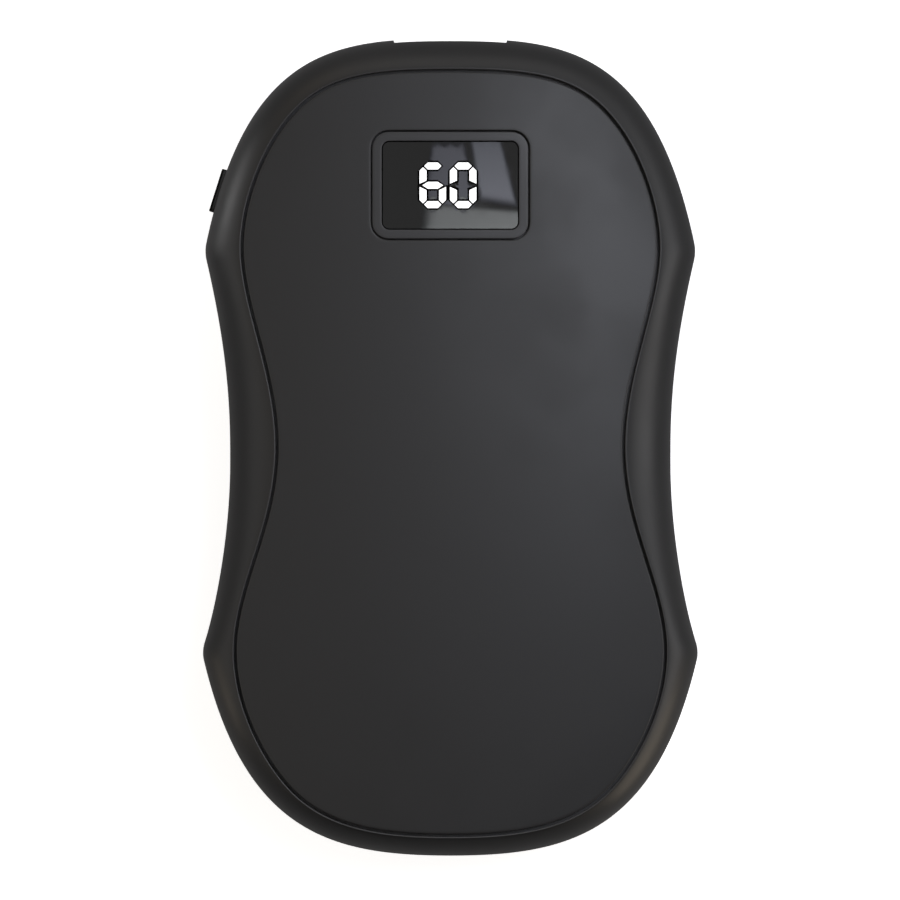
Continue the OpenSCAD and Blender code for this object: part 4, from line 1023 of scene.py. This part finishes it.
def stroke_shapes(d):
    """The segments of both digits with pointed ends, grown by some distance: lit and unlit.
    Segments go by their usual letters: a at the top, clockwise to f, and g in the middle."""
    half_w, half_h, s = d.digit_wide / 2, d.digit_high / 2, d.stroke
    # in strokes: from a corner to a tip, the middle bar's tips and flats, and the feet of the side bars
    tip_in, bar_tip, bar_flat, foot_out, foot_in = 0.08 * s, 0.35 * s, 1.1 * s, 0.13 * s, 0.53 * s

    def shape(letter, grow):
        half = s / 2 + grow
        if letter in "ad":
            x, y = half_w - s / 2 - tip_in + grow, half_h - s / 2
            rows = [(-x, y), (half - x, y + half), (x - half, y + half), (x, y), (x - half, y - half),
                    (half - x, y - half)]
        elif letter == "g":
            tip, flat = half_w - bar_tip + grow, half_w - bar_flat
            rows = [(-tip, 0), (-flat, half), (flat, half), (tip, 0), (flat, -half), (-flat, -half)]
        else:
            x, tip = half_w - s / 2, half_h - s / 2 - tip_in + grow
            rows = [(x, tip), (x + half, tip - half), (x + half, foot_out - grow),
                    (x - half, foot_in - grow), (x - half, tip - half)]
        turn = {"a": (1, 1), "b": (1, 1), "g": (1, 1), "c": (1, -1), "d": (1, -1), "e": (-1, -1),
                "f": (-1, 1)}[letter]
        return np.array(rows) * turn

    def strokes(letters, grow):
        found = []
        for i, group in enumerate(letters):
            at = np.array([(i - 0.5) * (d.digit_wide + d.digit_gap) - d.digits_left, work_middle(d)])
            found += [at + shape(letter, grow) for letter in group]
        return found

    return (lambda grow: strokes(["acdefg", "abcdef"], grow)), (lambda grow: strokes(["b", "g"], grow))


def work_middle(d):
    """Height of the display's middle along the body."""
    return WORK.sizes.body.body / 2 - d.down


class HANDWARMER_OT_display(bpy.types.Operator):
    """Builds the bezel, the smoked lens and the glowing segments"""
    bl_idname = "handwarmer.display"
    bl_label = "Display"

    def execute(self, context):
        work = start(context.scene)
        body, sizes = work.body, work.sizes
        b, d = sizes.body, sizes.display
        middle = np.array([0, work_middle(d)])
        window_w, window_l = d.wide - 2 * d.side, d.high - 2 * d.end
        open_w, open_l = window_w - 2 * d.lens_ledge, window_l - 2 * d.lens_ledge
        ledge = d.recess + d.lens + SEAT
        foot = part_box("display_bezel")[0].z
        step_up, soft = foot + 2 * MM, 0.1 * MM

        def ring(w, l, r, depth=None, z=None):
            rows = middle + rounded_rect(w, l, r)
            return with_z(rows, body.front(rows) - depth if z is None else z)

        well = (window_w + d.lens_ledge + 2 * FIT, window_l + d.lens_ledge + 2 * FIT, d.window_corner + FIT)
        flange = (d.wide + 2 * d.flange, d.high + 2 * d.flange, d.corner + d.flange)
        opening = (open_w, open_l, d.window_corner)
        rings = [ring(*well, z=foot), ring(*well, z=step_up), ring(*opening, z=step_up),
                 ring(*opening, ledge), ring(window_w, window_l, d.window_corner, ledge)]
        steps = quarter(6)
        rings += [ring(window_w + 2 * soft * i, window_l + 2 * soft * i, d.window_corner + soft * i,
                       soft * o) for i, o in steps]
        for share in (0.33, 0.67):
            rings.append(ring(window_w + (d.wide - window_w) * share, window_l + (d.high - window_l) * share,
                              d.window_corner + (d.corner - d.window_corner) * share, 0))
        rings += [ring(d.wide - 2 * soft * i, d.high - 2 * soft * i, d.corner - soft * i, soft * o)
                  for i, o in steps[::-1]]
        under = b.cover + SEAT
        rings += [ring(d.wide, d.high, d.corner, under), ring(*flange, under), ring(*flange, z=foot)]
        bezel = Skin()
        bezel.loft(rings, closed=True)
        lines = [middle + rounded_rect(d.wide, d.high, d.corner),
                 middle + rounded_rect(window_w, window_l, d.window_corner)]
        frame_ring = bezel.piece("bezel_frame", work.finishes["satin_bezel"])
        # a fainter painted highlight along the bezel's edges
        seated(paint_edge_highlights(frame_ring, lines, soft, FAINT_EDGE_HIGHLIGHT), "display_bezel")

        # the lens: ink round each lit segment and along the edge, and a window over each lit segment
        lit, unlit = stroke_shapes(d)
        lens_edge = lambda into: middle + rounded_rect(window_w - SEAT - 2 * into, window_l - SEAT - 2 * into,
                                                       d.window_corner - FIT / 2 - into * 0.9)
        windows, inked = lit(-0.07 * MM), lit(d.halo)
        clear, ink, window = 0, 1, 2
        zone = lambda p: np.where(in_any(p, windows), window, np.where(in_any(p, inked), ink, clear))
        lens = Skin()
        crowned_plate(lens, [lens_edge], lambda p, deep: body.front(p, d.recess) - deep,
                      lambda p: body.front(p, d.recess + d.lens), 0.05 * MM, 0.4 * MM,
                      creases=windows + inked, zone=zone, hold=d.border - 0.05 * MM, steps=4,
                      edge_zone=ink)
        seated(lens.piece("smoked_window", work.finishes["smoked_lens"], work.finishes["mask_ink"],
                          work.finishes["digit_window"], sharp=50), "display_lens")
        for node, shapes in (("digit_segments_lit", lit), ("digit_segments_unlit", unlit)):
            lo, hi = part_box(node)
            skin, edge = Skin(), 0.05 * MM
            for full, small in zip(shapes(0), shapes(-edge)):
                skin.loft([with_z(full, lo.z), with_z(full, hi.z - edge), with_z(small, hi.z)])
            name, finish = node.replace("digit_segments", "segments"), work.finishes[SLOT_OF[node]]
            seated(skin.piece(name, finish, sharp=60), node)
        return {"FINISHED"}


class HANDWARMER_OT_button(bpy.types.Operator):
    """Builds the power button in the rim's upper left side"""
    bl_idname = "handwarmer.button"
    bl_label = "Power button"

    def execute(self, context):
        work = start(context.scene)
        b = work.sizes.button
        back = PAD_SHARE * work.sizes.rim.wall + FIT
        flange_back = back + 0.7 * MM
        nub_back = flange_back + 0.3 * MM
        nub = (2.4 * MM, 1.6 * MM, 0.1 * MM)
        flange = (b.long + BUTTON_FLANGE, b.high + BUTTON_FLANGE, b.corner)
        bar = (b.long, b.high, b.corner)
        ring = lambda x, w, h, corner: at_x(x, rounded_rect(w, h, corner, side=6))
        rings = [ring(-nub_back, *nub), ring(-flange_back, *nub), ring(-flange_back, *flange),
                 ring(-back, *flange), ring(-back, *bar), ring(b.out - b.face, *bar)]
        # the faces from here on take the darker finish, painted shade along the button's outer part
        painted_shade_from = len(rings) - 1
        for i, o in quarter(6):
            rings.append(ring(b.out - b.soft * o, b.long - 2 * b.soft * i, b.high - 2 * b.soft * i,
                              b.corner - b.soft * i))
        for share in (0.8, 0.5, 0.2):
            rings.append(ring(b.out, (b.long - 2 * b.soft) * share, (b.high - 2 * b.soft) * share,
                              (b.corner - b.soft) * share + 0.02 * MM))
        skin = Skin()
        skin.loft(rings, zone_from=painted_shade_from)
        seated(skin.piece("button_cap", work.finishes["button_plastic"], work.finishes["button_face_painted_shade"],
                          move=button_frame(work)),
               "power_button", "button")
        return {"FINISHED"}


class HANDWARMER_OT_port(bpy.types.Operator):
    """Builds the inset plate round the charging port and the socket's rolled shell"""
    bl_idname = "handwarmer.port"
    bl_label = "Port"

    def execute(self, context):
        work = start(context.scene)
        s, body = work.sizes.port, work.body
        end = work.sizes.body.body / 2
        lo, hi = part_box("port_plate")
        face, flange_to = end - s.recess, lo.y + 0.8 * MM

        def slot_ring(w, h, y, steps=24, crown=False):
            a = np.radians(np.linspace(-90, 90, steps + 1))
            right = np.stack([w / 2 - h / 2 + h / 2 * np.cos(a), h / 2 * np.sin(a)], 1)
            return ring(np.concatenate([right, -right]), y, crown)

        def ring(rows, y, crown=False):
            if crown:
                y = y - (rows[:, 0] ** 2 / (2 * PLATE_ACROSS) + rows[:, 1] ** 2 / (2 * PLATE_UP))
            return np.column_stack([rows[:, 0], np.broadcast_to(y, len(rows)), body.mid + rows[:, 1]])

        def box_ring(w, h, r, y, crown=False):
            """A rounded rectangle with as many points as the slot, gathered where it bends."""
            x0, z0 = w / 2 - r, h / 2 - r
            turn = np.radians(np.linspace(-90, 0, 7))
            flat = np.stack([x0 * np.linspace(0.2, 0.8, 4), np.full(4, -z0 - r)], 1)
            corner = np.stack([x0 + r * np.cos(turn), -z0 + r * np.sin(turn)], 1)
            side = np.stack([np.full(3, x0 + r), z0 * np.array([-0.5, 0, 0.5])], 1)
            low = np.concatenate([flat, corner])
            right = np.concatenate([low, side, low[::-1] * (1, -1)])
            return ring(np.concatenate([right, -right]), y, crown)

        hole_w, hole_h, soft = s.socket_wide + LOOSE, s.socket_high + LOOSE, 0.25 * MM
        rings = [slot_ring(hole_w, hole_h, lo.y), slot_ring(hole_w, hole_h, face - soft, crown=True)]
        rings += [slot_ring(hole_w + 2 * soft * i, hole_h + 2 * soft * i, face - soft * o, crown=True)
                  for i, o in quarter(5)[1:]]
        inner, outer = rings[-1], box_ring(s.wide - 2 * soft, s.high - 2 * soft, 0.35 * MM, face, True)
        for share in (0.15, 0.35, 0.6, 0.85):
            rows = inner + (outer - inner) * share
            rings.append(ring(rows[:, [0, 2]] - (0, body.mid), face, True))
        rings += [box_ring(s.wide - 2 * soft * i, s.high - 2 * soft * i, PLATE_CORNER, face - soft * o, True)
                  for i, o in quarter(5)[::-1]]
        flange = (hi.x - lo.x, hi.z - lo.z, PLATE_CORNER)
        rings += [box_ring(s.wide, s.high, PLATE_CORNER, flange_to), box_ring(*flange, flange_to),
                  box_ring(*flange, lo.y)]
        plate = Skin()
        plate.loft(rings, closed=True)
        seated(plate.piece("port_surround", work.finishes["port_plastic"]), "port_plate")

        lo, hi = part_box("usb_c_shell")
        w, h, wall, soft = s.socket_wide, s.socket_high, s.socket_wall, 0.2 * MM
        lip, inner = wall / 2, (w - 2 * wall, h - 2 * wall)
        rings = [slot_ring(inner[0] - 2 * MM, inner[1] - 0.6 * MM, lo.y + wall),
                 slot_ring(*inner, lo.y + wall), slot_ring(*inner, hi.y - lip)]
        for a in np.radians(np.linspace(180, 0, 9)[1:-1]):
            grow = -2 * lip + 2 * lip * math.cos(a)
            rings.append(slot_ring(w + grow, h + grow, hi.y - lip + lip * math.sin(a)))
        rings += [slot_ring(w, h, hi.y - lip), slot_ring(w, h, lo.y + soft),
                  slot_ring(w - 2 * soft, h - 2 * soft, lo.y)]
        shell = Skin()
        shell.loft(rings)
        seated(shell.piece("rolled_socket_shell", work.finishes["steel_shell"]), "usb_c_shell")
        return {"FINISHED"}


class HANDWARMER_OT_foam(bpy.types.Operator):
    """Builds the two foam blocks that press the heater films against the covers"""
    bl_idname = "handwarmer.foam"
    bl_label = "Foam"

    def execute(self, context):
        work = start(context.scene)
        for node, sign in (("front_foam", 1), ("rear_foam", -1)):
            lo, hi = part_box(node)
            w, l = hi.x - lo.x, hi.y - lo.y
            middle = np.array([(lo.x + hi.x) / 2, (lo.y + hi.y) / 2])
            apex, flat = (hi.z, lo.z) if sign > 0 else (-lo.z, -hi.z)
            top = float(work.body.crown(0, [(0.0, max(0.0, lo.y))])[0])
            skin, corner, soft, spacing = Skin(), 2.5 * MM, 0.6 * MM, 2.5 * MM
            loop = lambda into: middle + rounded_rect(w - 2 * into, l - 2 * into, corner)
            crowned_plate(skin, [loop],
                          lambda p, deep: sign * (apex - top + work.body.crown(0, p) - deep),
                          lambda p: np.full(len(p), sign * flat), soft, spacing)
            foam = skin.piece(node + "_block", work.finishes["foam"])
            seated(foam, node)
        return {"FINISHED"}


# Stage

PLAIN, COOL, WARM = (1.0, 1.0, 1.0), (0.88, 0.91, 1.0), (1.0, 0.85, 0.65)
# soft lights of the room: turn from +X towards +Y and rise over the floor in degrees, strength, colour
SOFT_LIGHTS = {"overhead": (180, 75, 0.55, PLAIN), "high_left": (180, 60, 0.25, WARM),
               "front_left": (210, 30, 0.4, WARM), "left": (180, 15, 1.0, PLAIN),
               "back_left": (120, 15, 0.7, WARM), "back": (90, 15, 0.9, PLAIN),
               "back_right": (60, 15, 0.7, PLAIN), "right": (0, 15, 1.45, PLAIN),
               "low_right": (0, 0, 1.3, COOL), "low_back_right": (30, 0, 0.7, PLAIN),
               "low_front_right": (330, 0, 1.3, WARM)}
LOBE_POWER = 12.0              # how narrow each soft light is
# lamps: place, side of the square and power in watts, colour, and what they shine at
LAMPS = [("wide_lamp", (0.60, 0.74, 1.8), 0.8, 8.6, COOL, (0, 0, 0.013)),
         ("top_lamp", (0.58, 0.36, 2.3), 0.48, 8.0, COOL, (0, 0, 0.013)),
         ("upper_left_strip", (-0.078, 0.050, 0.010), 0.02, 0.0035, PLAIN, (-0.03, 0.03, 0.013)),
         ("left_strip", (-0.066, 0.034, 0.016), 0.02, 0.0012, PLAIN, (-0.033, 0.024, 0.018)),
         ("right_strip", (0.075, -0.055, 0.010), 0.02, 0.0025, WARM, (0.03, -0.04, 0.013)),
         ("lower_right_strip", (0.055, -0.065, 0.014), 0.02, 0.0020, WARM, (0.026, -0.042, 0.016)),
         ("lower_left_strip", (-0.075, -0.045, 0.010), 0.02, 0.0016, WARM, (-0.03, -0.035, 0.013))]
# panels that the lens mirrors: height, corners on the window as shares of its width and length from
# the upper left, the light at each corner, and the colour
PANELS = [("dim_panel", 2.2, [(-0.1, -0.15), (1.1, -0.15), (1.1, 1.15), (-0.1, 1.15)],
           [0.57, 0.52, 0.58, 0.57], PLAIN),
          ("left_panel", 2.19, [(0.365, -0.01), (0.60, -0.01), (0.71, 0.87), (0.30, 0.87)],
           [2.15, 2.2, 2.9, 2.1], (0.84, 0.86, 1.0)),
          ("right_panel", 2.19, [(0.635, -0.1), (0.86, -0.1), (0.995, 0.75), (0.71, 0.675)],
           [2.4, 2.5, 4.2, 4.0], (0.84, 0.87, 1.0)),
          ("low_panel", 2.18, [(0.31, 0.69), (1.1, 0.79), (1.1, 1.2), (0.27, 1.2)],
           [3.2, 3.9, 4.8, 3.5], (0.94, 0.98, 1.0))]
PANEL_STEPS = 24
PANEL_FADE, PANEL_DARK = 0.12, 0.5     # share of a panel over which its light falls, and what it falls to
FLOOR_REACH, FLOOR_LOW = 40, 0.004     # metres to each side, and how far under the body's rest face
# what the floor shows: its own grey in the object's light, near white to the camera, with a glow on top
FLOOR_GREY, FLOOR_SEEN, FLOOR_GLOW, FLOOR_MIRRORED = 0.17, 0.9, 0.75, 0.08
# camera: width of the view at the middle of the body, place over it, and a long lens
VIEW_WIDE, VIEW_MIDDLE = 0.115709, (-0.00004, -0.00037)
LONG_LENS, SENSOR = 1000, 36           # in millimetres


def eye_place(body):
    return (*VIEW_MIDDLE, body.mid + VIEW_WIDE * LONG_LENS / SENSOR)


class HANDWARMER_OT_stage(bpy.types.Operator):
    """Builds the floor, the lamps, the reflected panels and the camera"""
    bl_idname = "handwarmer.stage"
    bl_label = "Stage"

    def execute(self, context):
        work = start(context.scene)
        scene = context.scene
        self.floor()
        for name, place, size, power, colour, at in LAMPS:
            lamp = bpy.data.lights.new(name, "AREA")
            lamp.shape, lamp.size, lamp.size_y = "RECTANGLE", size, size
            lamp.energy, lamp.color = power, colour
            made = bpy.data.objects.new(name, lamp)
            made.location = place
            made.rotation_euler = (Vector(place) - Vector(at)).to_track_quat("Z", "Y").to_euler()
            made.visible_camera = False
            scene.collection.objects.link(made)
        self.air(scene)
        for panel in PANELS:
            self.panel(work, *panel)
        camera = bpy.data.cameras.new("camera")
        camera.lens, camera.sensor_width = LONG_LENS, SENSOR
        camera.clip_start, camera.clip_end = 0.1, 60
        eye = bpy.data.objects.new("camera", camera)
        eye.location = eye_place(work.body)
        scene.collection.objects.link(eye)
        scene.camera = eye
        return {"FINISHED"}

    def floor(self):
        """A pale floor that looks white and keeps the object's shadow."""
        skin, far = Skin(), FLOOR_REACH
        skin.face(skin.add(with_z([(-far, -far), (far, -far), (far, far), (-far, far)], -FLOOR_LOW)))
        white = Finish("Floor white", [FLOOR_GREY] * 3, 0.9, specular_ior_level=0.0)
        white.bump(white.noise(50 * MM, 2), 0.02, 1 * MM)
        ray = lambda kind: white.node("ShaderNodeLightPath", output=kind)
        seen = ray("Is Camera Ray") + ray("Is Transmission Ray") + ray("Is Glossy Ray") * FLOOR_MIRRORED
        white.feed(base_color=white.tint(seen, [FLOOR_SEEN] * 3))
        glow = white.node("ShaderNodeEmission", None, {"Color": (1, 1, 1, 1), "Strength": seen * FLOOR_GLOW})
        plain = Value(white, white.shader.outputs[0])
        both = white.node("ShaderNodeAddShader", None, [plain, glow])
        white.set(white.tree.nodes["Material Output"], {"Surface": both})
        skin.piece("floor", white.material)

    def air(self, scene):
        """The soft light of the room: wide lobes of light, each round one direction."""
        world = bpy.data.worlds.new("Studio air")
        scene.world = world
        world.use_nodes = True
        air = Shading(world.node_tree)
        vector = lambda operation, inputs, output=0: air.node(
            "ShaderNodeVectorMath", {"operation": operation}, inputs, output)
        way, light = air.node("ShaderNodeTexCoord", output="Generated"), None
        for turn, rise, strength, colour in SOFT_LIGHTS.values():
            turn, rise = math.radians(turn), math.radians(rise)
            axis = (math.cos(rise) * math.cos(turn), math.cos(rise) * math.sin(turn), math.sin(rise))
            near = vector("DOT_PRODUCT", [way, axis], "Value")
            lobe = ((near - 1) * LOBE_POWER).maths("EXPONENT")
            tinted = vector("SCALE", {"Vector": colour, "Scale": lobe * strength})
            light = vector("ADD", [light, tinted]) if light else tinted
        air.set(air.tree.nodes["Background"], {"Color": light, "Strength": 1.0})

    def panel(self, work, name, height, corners, light, colour):
        """A glowing panel high above, placed where the crowned lens mirrors it into the camera."""
        body, d = work.body, work.sizes.display
        window = np.array([d.wide - 2 * d.side, d.high - 2 * d.end])
        eye = np.array(eye_place(body))

        def mirror(u, v):
            """The place up there that a place on the window mirrors."""
            p = np.array([(u - 0.5) * window[0], work_middle(d) + (0.5 - v) * window[1]])
            step = 0.05 * MM
            z = lambda dx, dy: float(body.front([p + (dx, dy)], d.recess)[0])
            normal = unit(np.array([-(z(step, 0) - z(-step, 0)), -(z(0, step) - z(0, -step)), 2 * step]))
            at = np.array([p[0], p[1], z(0, 0)])
            way = unit(at - eye)
            way = way - 2 * (way @ normal) * normal
            return at + way * (height - at[2]) / way[2]

        def between(values, s, t):
            """A value between those at the corners, s of the way across and t of the way down."""
            a, b, c, e = values
            return (1 - t) * ((1 - s) * a + s * b) + t * ((1 - s) * e + s * c)

        rows, tones = [], []
        shares = [(i / PANEL_STEPS, j / PANEL_STEPS) for j in range(PANEL_STEPS + 1)
                  for i in range(PANEL_STEPS + 1)]
        for s, t in shares:
            rows.append(mirror(*between(np.array(corners), s, t)))
            edge = min(1, min(s, 1 - s, t, 1 - t) / PANEL_FADE)
            tones.append(PANEL_DARK + (between(light, s, t) - PANEL_DARK) * edge * edge * (3 - 2 * edge))
        skin = Skin()
        ids = skin.add(rows).reshape(PANEL_STEPS + 1, PANEL_STEPS + 1)
        for a, b in zip(ids, ids[1:]):
            skin.bridge(a, b, closed=False)
        glow = Finish(name.title(), colour, 0.5)
        tone = glow.node("ShaderNodeAttribute", {"attribute_name": "tone"}, output="Fac")
        shine = glow.node("ShaderNodeEmission", None, {"Color": (*colour, 1), "Strength": tone})
        glow.set(glow.tree.nodes["Material Output"], {"Surface": shine})
        card = skin.piece(name, glow.material)
        card.data.attributes.new("tone", "FLOAT", "POINT").data.foreach_set("value", tones)
        card.visible_camera = card.visible_diffuse = card.visible_shadow = False
        card.visible_transmission = False


class HANDWARMER_PT_pieces(bpy.types.Panel):
    """Sizes, colours and pieces of the hand warmer"""
    bl_label = "Hand warmer"
    bl_idname = "HANDWARMER_PT_pieces"
    bl_space_type = "VIEW_3D"
    bl_region_type = "UI"
    bl_category = "Hand warmer"

    def draw(self, context):
        sizes = context.scene.hand_warmer
        for part in ("body", "rim", "display", "button", "port", "colours"):
            box = self.layout.box()
            box.label(text=part.title())
            group = getattr(sizes, part)
            for name in group.bl_rna.properties.keys():
                if name not in ("rna_type", "name"):
                    box.prop(group, name)
        for operator in OPERATORS:
            self.layout.operator(operator.bl_idname)


OPERATORS = (HANDWARMER_OT_rim, HANDWARMER_OT_covers, HANDWARMER_OT_display, HANDWARMER_OT_button,
             HANDWARMER_OT_port, HANDWARMER_OT_foam, HANDWARMER_OT_stage)
CLASSES = (BodySizes, RimSizes, DisplaySizes, ButtonSizes, PortSizes, Colours, HandWarmerSizes,
           *OPERATORS, HANDWARMER_PT_pieces)


def register():
    for item in CLASSES:
        bpy.utils.register_class(item)
    bpy.types.Scene.hand_warmer = PointerProperty(type=HandWarmerSizes)


def unregister():
    del bpy.types.Scene.hand_warmer
    for item in reversed(CLASSES):
        bpy.utils.unregister_class(item)


def main():
    register()
    bpy.context.scene.view_settings.view_transform = "Standard"
    bpy.ops.handwarmer.rim()
    bpy.ops.handwarmer.covers()
    bpy.ops.handwarmer.display()
    bpy.ops.handwarmer.button()
    bpy.ops.handwarmer.port()
    bpy.ops.handwarmer.foam()
    bpy.ops.handwarmer.stage()


if __name__ == "__main__":
    main()
